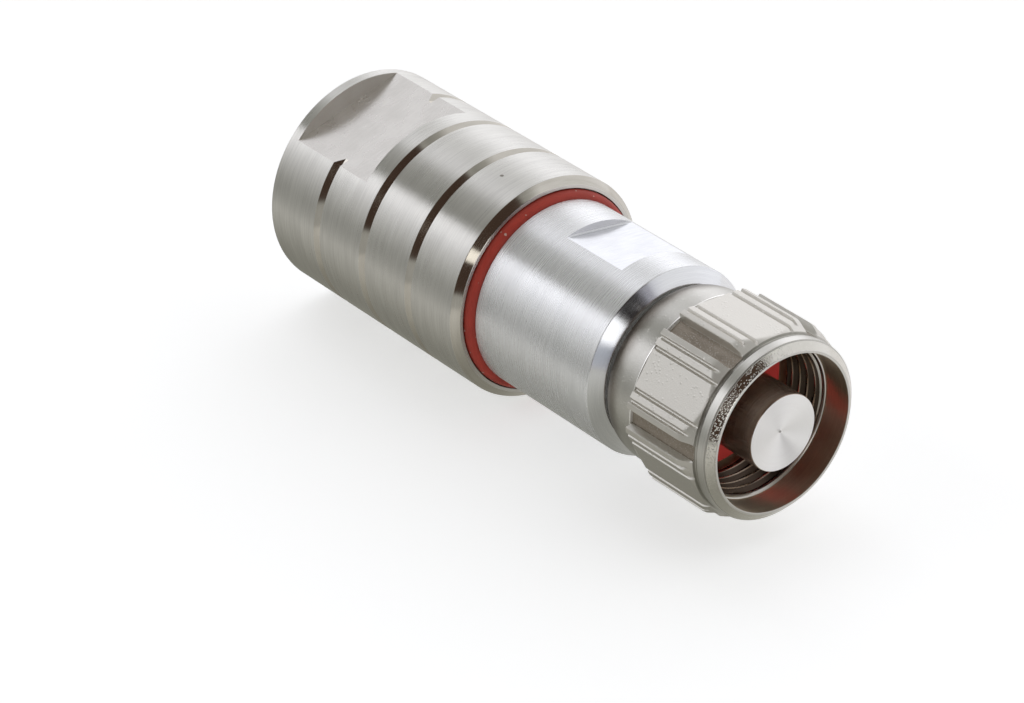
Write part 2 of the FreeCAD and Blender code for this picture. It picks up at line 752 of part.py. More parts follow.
def make_coupling_nut():
    """Coupling nut: rounded collar, six faces with grooves and corner channels, neck and bevelled lip."""
    neck_bottom = "knurl_end + nut_relief_width"
    line_bottom = "nut_front - lip_bevel_height - nut_line_width"
    snap_bottom = "snap_height - snap_thickness / 2 - free_gap"
    snap_top = "snap_height + snap_thickness / 2 + free_gap"
    body = turned("coupling_nut", [
        ("nut_bore_radius", "nut_rear"),
        ("nut_tail_radius", "nut_rear"),
        ("collar_radius", "nut_rear + collar_taper"),
        ("collar_radius", "knurl_start"),
        ("knurl_radius", "knurl_start"),
        ("knurl_radius", "knurl_end - knurl_taper"),
        ("collar_radius", "knurl_end"),
        ("nut_relief_radius", "knurl_end"),
        ("nut_relief_radius", neck_bottom),
        ("nut_neck_radius", neck_bottom),
        ("nut_neck_radius", line_bottom),
        ("nut_neck_radius - nut_line_depth", line_bottom),
        ("nut_neck_radius - nut_line_depth", "nut_front - lip_bevel_height"),
        ("lip_radius", "nut_front"),
        ("mouth_radius", "nut_front"),
        ("mouth_radius", "thread_end"),
        ("thread_wall_radius", "thread_end"),
        ("thread_wall_radius", "thread_start"),
        ("mouth_radius", "thread_start"),
        ("mouth_radius", "gasket_bottom - free_gap"),
        ("nut_bore_radius", "gasket_bottom - free_gap"),
        ("nut_bore_radius", snap_top),
        ("snap_outer_radius + free_gap", snap_top),
        ("snap_outer_radius + free_gap", snap_bottom),
        ("nut_bore_radius", snap_bottom),
    ])
    tail = values["nut_tail_radius"]
    collar = values["collar_radius"]
    rear = values["nut_rear"]
    dress(body, "Fillet", "tail_round", "collar_taper / 4", lambda e: is_ring(e, tail, rear))
    dress(body, "Fillet", "collar_round", "collar_taper",
          lambda e: is_ring(e, collar, rear + values["collar_taper"]))
    faces = milled(body, "knurl_face", "knurl_start", "knurl_end - knurl_start", [knurl_outline()])
    repeat_round(body, "knurl_faces", [faces], "side_count")
    channel = milled(body, "corner_channel", "knurl_start", "knurl_end - knurl_start", [corner_channel()])
    repeat_round(body, "corner_channels", [channel], "side_count")
    turn_about_axis(body, "nut_turn")


def check_everything():
    """Stop if any object failed or any sub-part has no sound shape."""
    for item in doc.Objects:
        if any(word in str(state) for state in item.State for word in ("Invalid", "Error")):
            raise RuntimeError(f"{item.Name} is {item.State}")
    for piece in pieces():
        if piece.Shape.isNull() or not piece.Shape.isValid() or not piece.Shape.Solids:
            raise RuntimeError(piece.Label + " has no sound shape")


def pieces():
    """Every sub-part: the bodies and the rings that stand alone."""
    return [item for item in doc.Objects if item.TypeId in ("PartDesign::Body", "Part::Torus")]


def write_pieces():
    os.makedirs("parts", exist_ok=True)
    for piece in pieces():
        piece.Shape.exportStep(f"parts/{piece.Label}.step")
        box = piece.Shape.BoundBox
        print(f"{piece.Label:18s} volume {piece.Shape.Volume:9.2f}  z {box.ZMin:6.2f} to {box.ZMax:6.2f}"
              f"  radius {max(box.XMax, box.YMax):6.2f}")


enter_sizes()
make_back_nut()
make_entry_seal()
make_seal_washer()
make_clamp_collet()
ring("collet_spring", "finger_radius - spring_seat_depth + spring_wire + slip_gap / 2", "spring_wire",
     "collet_top - spring_setback")
make_front_body()
ring("body_seal_ring", "ring_centre_radius", "ring_section", "ring_height")
make_clamp_cone()
make_insulator_clip()
make_rear_insulator()
make_spacer_sleeve()
make_front_insulator()
make_centre_contact()
make_contact_socket()
make_socket_guide()
make_neck_washer()
ring("neck_seal_ring", "neck_radius - neck_seal_section - slip_gap / 2", "neck_seal_section",
     "neck_seal_height")
make_snap_ring()
make_face_gasket()
make_coupling_nut()
doc.recompute()
check_everything()
write_pieces()
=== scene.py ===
# %% [markdown]
# # A coaxial plug in nickel, silver and silicone
#
# The object is a plug for a thick coaxial cable. A back nut, a front body and a coupling nut stand one
# behind the other on one axis, with a silver contact in the mouth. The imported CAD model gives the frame:
# where each piece is and what it turns with. This file makes the surfaces that are seen, finish by finish.

# %% Load the frame
import math

import bmesh
import bpy
import numpy as np
from mathutils import Matrix, Vector


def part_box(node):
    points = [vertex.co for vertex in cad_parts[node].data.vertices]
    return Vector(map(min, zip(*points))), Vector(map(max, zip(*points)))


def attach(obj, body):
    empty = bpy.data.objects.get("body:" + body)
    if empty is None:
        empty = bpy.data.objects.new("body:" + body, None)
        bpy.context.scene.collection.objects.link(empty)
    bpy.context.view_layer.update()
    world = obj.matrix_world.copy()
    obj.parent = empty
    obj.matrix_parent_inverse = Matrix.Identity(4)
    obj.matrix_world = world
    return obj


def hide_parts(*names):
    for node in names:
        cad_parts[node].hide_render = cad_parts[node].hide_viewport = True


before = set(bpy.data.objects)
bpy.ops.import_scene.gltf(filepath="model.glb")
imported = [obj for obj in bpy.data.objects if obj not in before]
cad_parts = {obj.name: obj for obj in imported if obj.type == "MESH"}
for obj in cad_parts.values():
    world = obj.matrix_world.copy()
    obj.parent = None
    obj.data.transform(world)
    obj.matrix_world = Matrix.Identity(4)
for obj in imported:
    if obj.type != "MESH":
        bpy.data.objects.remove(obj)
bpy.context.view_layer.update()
# The outlines below are written in millimetres, as on a drawing.
MM = 0.001


def span(node):
    """A CAD node's lowest and highest corners at rest, in millimetres."""
    low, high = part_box(node)
    return np.array(low) / MM, np.array(high) / MM


# %% [markdown]
# ## The camera
#
# The plug lies on a table and is seen from above its front end. In the model it stands on its cable end
# instead, with Z along the axis. So the table is an upright plane here, and the camera carries the whole
# tilt of the view. Its place, its right and up directions and its focal length were fitted to the ellipses
# of the turned edges, and its third direction is square to the other two.

# %% Camera at the photograph's viewing angle
IMAGE_WIDTH = 1024
SENSOR_WIDTH = 36.0
FOCAL_PIXELS = 4221.2
CAMERA_PLACE = Vector((158.63, -259.19, 307.27)) * MM
CAMERA_RIGHT = Vector((-0.74965, 0.22206, 0.62347))
CAMERA_UP = Vector((-0.54805, -0.73640, -0.39669))
NEAREST, FARTHEST = 0.02, 20.0

# Away from the table, and across it towards the camera's side.
TABLE_UP = Vector((-0.28402, -0.95882, 0.0))
TABLE_SIDE = Vector((0.95882, -0.28402, 0.0))


def make_camera():
    """A camera whose axes are right, up and backwards, square to each other."""
    right = CAMERA_RIGHT.normalized()
    up = (CAMERA_UP - right * CAMERA_UP.dot(right)).normalized()
    turn = Matrix((right, up, right.cross(up))).transposed().to_4x4()
    lens = bpy.data.cameras.new("camera")
    lens.sensor_width = SENSOR_WIDTH
    lens.lens = FOCAL_PIXELS * SENSOR_WIDTH / IMAGE_WIDTH
    lens.clip_start, lens.clip_end = NEAREST, FARTHEST
    camera = bpy.data.objects.new("camera", lens)
    camera.matrix_world = Matrix.Translation(CAMERA_PLACE) @ turn
    bpy.context.scene.collection.objects.link(camera)
    bpy.context.scene.camera = camera
    return camera


make_camera()
bpy.context.scene.view_settings.view_transform = "Standard"
print("camera", round(CAMERA_PLACE.length, 3), "m from the plug's rear face")

# %% [markdown]
# ## Writing a shader as arithmetic
#
# A material is a small graph of nodes. Most of them are sums and products, which read better as Python.
# `Wire` stands for a node's output: adding or multiplying wires adds the Math nodes. `Graph.add` makes
# any other node from its type, its settings and what goes into its sockets.

# %% Wire and Graph
# How deep tool marks are, in metres.
MARK_DEPTH = 0.00002


class Wire:
    """A node's output socket, with arithmetic that adds Math nodes."""

    def __init__(self, graph, socket):
        self.graph = graph
        self.socket = socket

    def __add__(self, other):
        return self.graph.math("ADD", self, other)

    def __sub__(self, other):
        return self.graph.math("SUBTRACT", self, other)

    def __rsub__(self, other):
        return self.graph.math("SUBTRACT", other, self)

    def __mul__(self, other):
        return self.graph.math("MULTIPLY", self, other)

    __radd__ = __add__
    __rmul__ = __mul__


class Graph:
    """The node graph of one material or of the world."""

    def __init__(self, owner):
        owner.use_nodes = True
        self.tree = owner.node_tree
        self.tree.nodes.clear()

    def add(self, kind, settings=None, inputs=None, output=0):
        """Adds a node, sets it, fills or links its sockets, and returns one of its outputs.

        A colour is red, green and blue, and gets its full alpha here.
        """
        node = self.tree.nodes.new(kind)
        for name, value in (settings or {}).items():
            if name == "stops":
                self.place_stops(node.color_ramp, value)
            else:
                setattr(node, name, value)
        for key, value in (inputs or {}).items():
            socket = node.inputs[key]
            if isinstance(value, Wire):
                self.tree.links.new(value.socket, socket)
            else:
                socket.default_value = (*value, 1.0) if socket.type == "RGBA" else value
        return Wire(self, node.outputs[output]) if len(node.outputs) else node

    def place_stops(self, ramp, stops):
        """Gives a ramp its stops, each a position and a colour."""
        while len(ramp.elements) < len(stops):
            ramp.elements.new(1.0)
        for element, (position, colour) in zip(ramp.elements, stops):
            element.position = position
            element.color = (*colour, 1.0)

    def math(self, operation, first, second=0.0):
        return self.add("ShaderNodeMath", {"operation": operation}, {0: first, 1: second})

    def mix(self, factor, first, second):
        """A colour between two, by a factor."""
        return self.add("ShaderNodeMix", {"data_type": "RGBA"}, {0: factor, 6: first, 7: second}, output=2)

    def ramp(self, factor, stops):
        """A colour read from a ramp."""
        return self.add("ShaderNodeValToRGB", {"stops": stops}, {0: factor})

    def step(self, value, low, high):
        """0 below low, 1 above high and smooth between them."""
        settings = {"interpolation_type": "SMOOTHSTEP"}
        return self.add("ShaderNodeMapRange", settings, {0: value, 1: low, 2: high})

    def place(self):
        """The surface point in the object's own coordinates, as a vector and as x, y and z."""
        vector = self.add("ShaderNodeTexCoord", output=3)
        split = [self.add("ShaderNodeSeparateXYZ", inputs={0: vector}, output=axis) for axis in range(3)]
        return vector, *split

    def along(self, vector, direction):
        """How far a vector reaches along a direction, as their dot product."""
        settings = {"operation": "DOT_PRODUCT"}
        return self.add("ShaderNodeVectorMath", settings, {0: vector, 1: direction}, output=1)

    def noise(self, vector, scale, detail=2.0, roughness=0.5):
        inputs = {"Vector": vector, "Scale": scale, "Detail": detail, "Roughness": roughness}
        return self.add("ShaderNodeTexNoise", inputs=inputs)

    def bump(self, height, strength, depth=MARK_DEPTH):
        inputs = {"Strength": strength, "Distance": depth, "Height": height}
        return self.add("ShaderNodeBump", inputs=inputs)

    def dress(self, sockets):
        """Ends a material: a Principled surface with these sockets, and the output."""
        surface = self.add("ShaderNodeBsdfPrincipled", inputs=sockets)
        self.add("ShaderNodeOutputMaterial", inputs={"Surface": surface})


def new_finish(name):
    """A new material and the graph that fills it."""
    material = bpy.data.materials.new(name)
    return material, Graph(material)


print("tool marks are", MARK_DEPTH / MM, "mm deep")

# %% [markdown]
# ## The studio
#
# Bare metal has hardly a colour of its own: it shows the room. A turned cylinder mirrors its room by the
# angle round its axis, so a ramp over that angle is the plainest way to write one, and it keeps the edges
# of panels sharp. Here one ramp holds behind the plug, where its sides find their mirror images, with two
# bright panels and dark gaps between them. Another holds ahead of it, for bevels and cones, and a few
# sectors stand nearly straight ahead, for the front body's end face. What faces the lens mirrors the
# photographer's side: a dark round cap with a small lamp in it.

# %% World: light by the angle round the axis
# Brightness by degrees from the table's up direction, positive towards the camera.
ROOM = [
    (-180, 0.95), (-125, 1.10), (-107, 0.92), (-95, 1.00), (-83, 1.22), (-71, 1.43), (-57, 1.42), (-47, 1.18),
    (-38, 0.80), (-23, 0.80), (-11, 1.00), (1, 0.98), (7, 0.38), (37.5, 0.31), (41.5, 1.36), (54, 1.34),
    (60, 1.10), (73, 0.80), (85, 0.57), (92, 0.44), (97, 0.32), (112, 0.36), (118, 0.50), (180, 0.50),
]
FRONT_ROOM = [
    (-180, 0.90), (-84, 0.88), (-70, 0.80), (-32, 0.76), (-22, 0.42), (-12, 0.32), (0, 0.50), (14, 0.62),
    (26, 0.50), (36, 0.30), (86, 0.28), (93, 0.40), (180, 0.42),
]
# Where the second takes over from the first, by the direction's part along the axis.
FRONT_LIMITS = (-0.40, 0.10)
# Nearly straight ahead of the mouth, seen by the front body's shoulder: stops by across minus up.
AHEAD_ROOM = [(-0.66, (0.56, 0.56, 0.62)), (-0.58, (0.02, 0.02, 0.022)), (-0.18, (0.02, 0.02, 0.02)),
              (-0.12, (1.40, 1.40, 1.40)), (0.24, (1.30, 1.30, 1.32)), (0.30, (0.40, 0.42, 0.46)),
              (0.56, (0.46, 0.48, 0.52)), (0.62, (0.56, 0.56, 0.60))]
AHEAD_LIMITS = (0.82, 0.86)
# The cap and the lamp: a direction (up, across, along), half a cone's angle and its edge in degrees.
DARK_CAP = ((0.42, 0.38, 0.82), 40.0, 1.8)
DARK_COLOUR = (0.060, 0.038, 0.028)
LAMP_CAP = ((0.333, 0.579, 0.737), 5.0, 1.0)
LAMP_COLOUR = (1.5, 1.45, 1.35)
WHITE = (1.0, 1.0, 1.0)


def room_colour(level):
    """A grey of the room: its bright parts are a little cool and its dark parts a little warm."""
    return (level, level, level * (0.89 + 0.15 * min(level, 1.0)))


def row_vector(up, side, along):
    """A direction in the row frame, from its parts away from the table, across it and along the axis."""
    return TABLE_UP * up + TABLE_SIDE * side + Vector((0, 0, along))


def make_world():
    """The angle is arctan2(across, up) of the ray. Sectors, cap and lamp are laid over the two ramps."""
    world = bpy.data.worlds.new("studio")
    bpy.context.scene.world = world
    graph = Graph(world)
    ray = graph.add("ShaderNodeTexCoord", output=0)
    angle = graph.math("ARCTAN2", graph.along(ray, TABLE_SIDE), graph.along(ray, TABLE_UP))
    turn = angle * (0.5 / math.pi) + 0.5
    behind, before = [
        graph.ramp(turn, [((degrees + 180) / 360, room_colour(level)) for degrees, level in stops])
        for stops in (ROOM, FRONT_ROOM)]
    ahead = graph.along(ray, Vector((0, 0, 1)))
    room = graph.mix(graph.step(ahead, *FRONT_LIMITS), behind, before)
    sectors = graph.ramp(graph.along(ray, TABLE_SIDE - TABLE_UP) * 0.5 + 0.5,
                         [(place * 0.5 + 0.5, colour) for place, colour in AHEAD_ROOM])

    def cap(direction, half, edge):
        """1 inside a cone round a direction, 0 outside, with a narrow edge."""
        limits = [math.cos(math.radians(half + edge)), math.cos(math.radians(half - edge))]
        return graph.step(graph.along(ray, row_vector(*direction).normalized()), *limits)

    seen = graph.mix(cap(*DARK_CAP), room, DARK_COLOUR)
    seen = graph.mix(graph.step(ahead, *AHEAD_LIMITS), seen, sectors)
    seen = graph.mix(cap(*LAMP_CAP), seen, LAMP_COLOUR)
    camera_ray = graph.add("ShaderNodeLightPath", output=0)
    colour = graph.mix(camera_ray, seen, WHITE)
    light = graph.add("ShaderNodeBackground", inputs={"Color": colour, "Strength": 1.0})
    graph.add("ShaderNodeOutputWorld", inputs={"Surface": light})


make_world()
print("the room has", len(ROOM), "stops behind and", len(FRONT_ROOM), "ahead")

# %% [markdown]
# ## The table
#
# The table is one pale sheet that touches the back nut's side. Its matt part keeps the plug's soft shadow,
# and a glow that only the camera sees brings it up to white. Metal mirrors a ramp across it instead, dark
# beside the plug, where a real table lies in its shade, and past some distance it mirrors the room. Seen
# from below the table is clear, so that views from all round stay open.

# %% The table as a stage
TABLE_HALF, TABLE_GAP = 1500.0, 0.01
TABLE_COLOUR = (0.86, 0.87, 0.88)
CAMERA_GLOW = 0.52
# Where the ramp gives way to the room, in metres across the table and along the axis.
SHEET_SIDE = (0.038, 0.048)
SHEET_AHEAD = (0.100, 0.110)
# The ramp: how bright metal sees the table, by the millimetres across it from the axis.
MIRRORED = [(-60, 0.82), (-5, 0.78), (0, 0.42), (6, 0.29), (11, 0.27), (15, 0.33), (19, 0.42), (24, 0.51),
            (33, 0.58), (50, 0.55)]
MOUTH_LIGHT_WATTS, MOUTH_LIGHT_DEGREES = 2.4, 4
MOUTH_LIGHT_HEIGHT, MOUTH_LIGHT_RADIUS = 0.40, 0.012


def table_colour(level):
    """A grey of the table, warmer in its dark parts."""
    return (level, level * 0.985, level * (0.81 + 0.21 * level))


def table_finish():
    """Matt white with a glow for the camera. Metal sees a ramp across it, and it is clear from behind."""
    material, graph = new_finish("table_white")
    matt = graph.add("ShaderNodeBsdfDiffuse", inputs={"Color": TABLE_COLOUR})
    camera_ray = graph.add("ShaderNodeLightPath", output=0)
    glossy_ray = graph.add("ShaderNodeLightPath", output=3)
    glow = graph.add("ShaderNodeEmission", inputs={"Color": WHITE, "Strength": camera_ray * CAMERA_GLOW})
    plain = graph.add("ShaderNodeAddShader", inputs={0: matt, 1: glow})
    place, *_, z = graph.place()
    side = graph.along(place, TABLE_SIDE)
    first, last = MIRRORED[0][0], MIRRORED[-1][0]
    width = last - first
    across = side * (1 / MM / width) - first / width
    stops = [((where - first) / width, table_colour(level)) for where, level in MIRRORED]
    mirrored = graph.add("ShaderNodeEmission", inputs={"Color": graph.ramp(across, stops), "Strength": 1.0})
    surface = graph.add("ShaderNodeMixShader", inputs={0: glossy_ray, 1: plain, 2: mirrored})
    clear = graph.add("ShaderNodeBsdfTransparent")
    behind = graph.add("ShaderNodeNewGeometry", output=6)
    inside = (1 - graph.step(side, *SHEET_SIDE)) * (1 - graph.step(z, *SHEET_AHEAD))
    beyond = glossy_ray * (1 - inside)
    sheet = graph.add("ShaderNodeMixShader", inputs={
        0: graph.math("MAXIMUM", behind, beyond), 1: surface, 2: clear})
    graph.add("ShaderNodeOutputMaterial", inputs={"Surface": sheet})
    return material


def make_table():
    """A square whose face looks along the table's up direction, a hair below the back nut."""
    reach = span("back_nut")[1][0] + TABLE_GAP
    centre = TABLE_UP * -reach * MM
    across = TABLE_SIDE * TABLE_HALF * MM
    along = Vector((0, 0, TABLE_HALF * MM))
    signs = ((-1, -1), (1, -1), (1, 1), (-1, 1))
    corners = [tuple(centre + across * side + along * end) for side, end in signs]
    mesh = bpy.data.meshes.new("table")
    mesh.from_pydata(corners, [], [(0, 1, 2, 3)])
    mesh.materials.append(table_finish())
    table = bpy.data.objects.new("table", mesh)
    bpy.context.scene.collection.objects.link(table)
    mesh.update()
    if mesh.polygons[0].normal.dot(TABLE_UP) < 0:
        mesh.flip_normals()


def make_mouth_light():
    """A small lamp down the axis. It only lights matt surfaces: the red gasket deep in the mouth."""
    lamp = bpy.data.lights.new("mouth_light", "SPOT")
    lamp.energy = MOUTH_LIGHT_WATTS
    lamp.spot_size = math.radians(MOUTH_LIGHT_DEGREES)
    lamp.spot_blend = 0.3
    lamp.shadow_soft_size = MOUTH_LIGHT_RADIUS
    light = bpy.data.objects.new("mouth_light", lamp)
    light.location = (0, 0, MOUTH_LIGHT_HEIGHT)
    light.visible_glossy = False
    bpy.context.scene.collection.objects.link(light)


make_table()
make_mouth_light()
print("table made, facing", [round(value, 2) for value in TABLE_UP])

# %% [markdown]
# ## Outlines carried round the axis
#
# Nearly every piece came off a lathe, so it is an outline carried round the axis. An outline is a list of
# corners. Each corner is broken by a small curve, as a real edge is, with a guard point on either side so
# that the curve's shading doesn't spread over the flat stretches beside it. Besides its radius and height
# a corner carries how far away a milled flat lies, how deep a screw thread is and how much of the grip's
# outline it takes: one function of the row and the angle then gives every point at once.

# %% Corners and rounded outlines
NO_FLAT = 99.0
EDGE = 0.06
GUARD = 1.3
COLUMNS = ("radius", "height", "flat", "thread", "grip")


def corner(radius, height, soft=EDGE, finish=0, parts=1, flat=NO_FLAT, thread=0.0, grip=0.0):
    """One corner of an outline: soft is how far its rounding reaches, parts divides the run after it."""
    values = np.array([radius, height, flat, thread, grip], float)
    return {"values": values, "soft": soft, "finish": finish, "parts": parts}


def path(finish, *places, soft=EDGE):
    """Corners of one finish and one softness, one for each (radius, height)."""
    return [corner(radius, height, soft, finish) for radius, height in places]


def groove(radius, floor, first, last, finish):
    """A square groove in a wall of some radius, from the height that is met first to the other."""
    return path(finish, (radius, first), (floor, first), (floor, last), (radius, last), soft=0)


def broken_corner(before, here, after, soft, steps):
    """The curve (1-s)^2 A + 2s(1-s) P + s^2 B round corner P, with a guard point before A and after B."""
    if soft == 0:
        return here[None]
    back = (before - here) / np.linalg.norm((before - here)[:2])
    ahead = (after - here) / np.linalg.norm((after - here)[:2])
    start, end = here + back * soft, here + ahead * soft
    s = np.linspace(0, 1, steps + 1)[:, None]
    curve = (1 - s) ** 2 * start + 2 * s * (1 - s) * here + s**2 * end
    return np.vstack([here + back * soft * GUARD, curve, here + ahead * soft * GUARD])


def outline(corners, closed=True, steps=3):
    """Rows of values along the outline, and the finish of the strip that follows each row.

    The strips before the middle of a corner's curve have the finish of the run that comes in.
    """
    runs = []
    for number, this in enumerate(corners):
        before = corners[number - 1]["values"]
        after = corners[(number + 1) % len(corners)]["values"]
        runs.append(broken_corner(before, this["values"], after, this["soft"], steps))
    rows, finishes = [], []
    for number, this in enumerate(corners):
        run = runs[number]
        rows.append(run)
        half = len(run) // 2
        finishes += [corners[number - 1]["finish"]] * half + [this["finish"]] * (len(run) - half)
        if number + 1 < len(corners) or closed:
            following = runs[(number + 1) % len(corners)][0]
            s = np.linspace(0, 1, this["parts"] + 1)[1:-1, None]
            rows.append(run[-1] * (1 - s) + following * s)
            finishes += [this["finish"]] * (this["parts"] - 1)
    return np.vstack(rows), np.array(finishes)


square = path(0, (1, 0), (2, 0), (2, 3), (1, 3))
print("a square ring's outline has", len(outline(square)[0]), "rows")

# %% [markdown]
# The grid of rows and columns becomes a mesh in one go. Points that fall together, such as a pole on the
# axis or the two rims of a wall where there is no wall, are merged, so the surface is closed and has no
# slivers. Faces turn outwards because outlines run up the outside and down the inside.

# %% From a grid to a mesh
SHARP = math.radians(19)
MERGE = 2e-7


def grid_mesh(name, points, finishes, materials, closed=True):
    """A mesh from a grid of points (rows, columns, 3) in millimetres, joined round its columns."""
    rows, columns = points.shape[:2]
    i = np.arange(rows if closed else rows - 1)[:, None]
    j = np.arange(columns)[None, :]
    next_i, next_j = (i + 1) % rows, (j + 1) % columns
    here, above = i * columns, next_i * columns
    faces = np.stack([here + j, here + next_j, above + next_j, above + j], -1)
    mesh = bpy.data.meshes.new(name)
    mesh.from_pydata((points.reshape(-1, 3) * MM).tolist(), [], faces.reshape(-1, 4).tolist())
    mesh.polygons.foreach_set("material_index", finishes[: faces.shape[0]].reshape(-1).astype(np.int32))
    for material in materials:
        mesh.materials.append(material)
    loose = bmesh.new()
    loose.from_mesh(mesh)
    bmesh.ops.remove_doubles(loose, verts=loose.verts, dist=MERGE)
    loose.to_mesh(mesh)
    loose.free()
    mesh.polygons.foreach_set("use_smooth", np.ones(len(mesh.polygons), bool))
    mesh.set_sharp_from_angle(angle=SHARP)
    mesh.update()
    return mesh


def turned_piece(name, node, body, corners, materials, angles, shape=None, closed=True):
    """Carries an outline round the axis, lets shape alter the grid, and puts the piece in the frame."""
    rows, strips = outline(corners, closed)
    values = {key: np.repeat(rows[:, [number]], len(angles), 1) for number, key in enumerate(COLUMNS)}
    values["angle"] = np.repeat(angles[None, :], len(rows), 0)
    finishes = np.repeat(strips[:, None], len(angles), 1)
    if shape:
        finishes = shape(values, finishes)
    radius, angle = values["radius"], values["angle"]
    points = np.stack([radius * np.cos(angle), radius * np.sin(angle), values["height"]], -1)
    piece = bpy.data.objects.new(name, grid_mesh(name, points, finishes, materials, closed))
    bpy.context.scene.collection.objects.link(piece)
    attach(piece, body)
    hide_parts(node)
    print(name, "has", len(piece.data.polygons), "faces")


# %% [markdown]
# ### Milled flats and screw threads
#
# A flat is the plane at one distance from the axis, so in the angle's direction its radius is that distance
# over the cosine. Taking the smaller of it and the turned radius mills the flat. The columns are first
# moved to the exact angle where the two meet, row by row, so the flat's edge is crisp. A thread adds a
# ridge that climbs one pitch in each turn.

# %% Flats and threads as functions of row and angle
ROOT_SHARE, FLANK_SHARE = 0.12, 0.80


def round_angles(turn, half, inside, outside):
    """Columns for two opposite flats: some across each flat, the rest over the round between them."""
    flat = np.linspace(-half, half, inside, endpoint=False)
    rest = np.linspace(half, math.pi - half, outside, endpoint=False)
    side = np.concatenate([flat, rest])
    return turn + np.concatenate([side, side + math.pi])


def mill_flats(values, finishes, turn, half, milled, wall):
    """Cuts two opposite flats. Their strips take the milled finish and their end walls the wall's."""
    radius, flat = values["radius"], values["flat"]
    away = (values["angle"] - turn + math.pi / 2) % math.pi - math.pi / 2
    cut = flat < radius
    reach = np.where(cut, np.arccos(np.clip(flat / radius, 0, 1)), half)
    size = np.abs(away)
    quarter = math.pi / 2
    inner = size * reach / half
    outer = quarter - (quarter - size) * (quarter - reach) / (quarter - half)
    moved = np.sign(away) * np.where(size <= half + 1e-9, inner, outer)
    values["angle"] = values["angle"] + moved - away
    values["radius"] = np.where(cut, np.minimum(radius, flat / np.cos(moved)), radius)
    middle = (away + np.roll(away, -1, 1)) / 2
    on_flat = (np.abs(middle) < half) & (np.abs(away - np.roll(away, -1, 1)) < quarter)
    following = np.roll(cut, -1, 0)
    finishes = np.where(on_flat & cut & following, milled, finishes)
    return np.where(on_flat & (cut != following), wall, finishes)


def ridge(turns):
    """A thread's form over one pitch: 0 at the root, 1 on the narrow crest, straight flanks between."""
    sweep = 1 - np.abs(2 * (turns % 1.0) - 1)
    return np.clip((sweep - ROOT_SHARE) / FLANK_SHARE, 0, 1)


def cut_thread(values, pitch, phase=0.0):
    """Moves a threaded row out or in by its depth, where the ridge has climbed to that angle."""
    turns = values["height"] / pitch - values["angle"] / (2 * math.pi) + phase
    values["radius"] = values["radius"] + values["thread"] * ridge(turns)


print("a ridge at half a pitch is", ridge(np.array([0.5]))[0])

# %% [markdown]
# ## Turned and plated metal
#
# The lathe leaves fine marks round the axis. They scatter light along the axis and hardly across it, which
# draws the long bright and dark streaks. Cycles has that as anisotropy: its tangent runs round Z, and a
# rotation of a quarter turn sets the scatter across the marks. The marks themselves are a noise that is
# long round the axis and very short along it, so they are rings on a cylinder and circles on an end face.

# %% The turned finish
RINGS_PER_METRE = 9000.0
RING_SPREAD = 200.0
CONE_SHARE = 1.31
BROADER = 9
CLOUDS_PER_METRE, NICKS_PER_METRE = 160.0, 800.0
SCATTER_ACROSS = 0.25
NICK_COLOUR = (0.25, 0.23, 0.20)


def lathe_marks(graph, x, y, z, fine=RINGS_PER_METRE):
    """Noise over (x, y, z + 1.31 r), with the last stretched so that the marks run round the axis."""
    radius = graph.math("SQRT", x * x + y * y)
    along = (z + radius * CONE_SHARE) * fine
    vector = graph.add("ShaderNodeCombineXYZ", inputs={0: x * RING_SPREAD, 1: y * RING_SPREAD, 2: along})
    return graph.noise(vector, 1.0, detail=3.0, roughness=0.65)


def turned_metal(name, dark, light, rough, spread, anisotropy, bump, fine=RINGS_PER_METRE, nicked=0.80,
                 metallic=1.0):
    """Plated metal with marks from the lathe in its colour, its roughness and its surface."""
    material, graph = new_finish(name)
    vector, x, y, z = graph.place()
    marks = lathe_marks(graph, x, y, z, fine)
    bands = lathe_marks(graph, x, y, z, fine / BROADER)
    cloud = graph.noise(vector, CLOUDS_PER_METRE, detail=3.0)
    tone = graph.step(marks * 0.6 + bands * 0.25 + cloud * 0.15, 0.3, 0.7)
    nicks = graph.step(graph.noise(vector, NICKS_PER_METRE, detail=1.0), nicked, nicked + 0.015)
    graph.dress({
        "Base Color": graph.mix(nicks, graph.mix(tone, dark, light), NICK_COLOUR),
        "Metallic": metallic,
        "Roughness": (marks - 0.5) * spread + (cloud - 0.5) * spread + rough,
        "Anisotropic": anisotropy,
        "Anisotropic Rotation": SCATTER_ACROSS,
        "Normal": graph.bump(marks, bump),
    })
    return material


back_turned = turned_metal(
    "back_nut_turned", (0.61, 0.60, 0.57), (0.82, 0.81, 0.77), 0.30, 0.14, 1.00, 0.34, fine=14000.0)
back_polished = turned_metal(
    "back_nut_bevel", (0.60, 0.57, 0.515), (0.72, 0.69, 0.63), 0.12, 0.06, 0.60, 0.25)
body_turned = turned_metal(
    "front_body_turned", (0.80, 0.81, 0.82), (0.97, 0.98, 0.985), 0.27, 0.16, 0.90, 0.50, fine=12000.0,
    metallic=0.70)
body_faced = turned_metal(
    "front_body_end_face", (0.84, 0.85, 0.88), (0.94, 0.95, 0.97), 0.18, 0.08, 0.90, 0.30, fine=12000.0)
inside_turned = turned_metal(
    "inner_walls", (0.50, 0.47, 0.42), (0.62, 0.59, 0.54), 0.35, 0.10, 0.50, 0.20)
print("turned finishes have", round(RINGS_PER_METRE * MM), "or more marks in a millimetre")

# %% [markdown]
# ### Milled faces
#
# The spanner flats were milled, so their fine marks run straight and they scatter light evenly. The walls
# at a flat's ends were cut by the tool's rim and are paler and duller.

# %% The milled finish
MILL_SPREAD, MILL_MARKS = 500.0, 5000.0


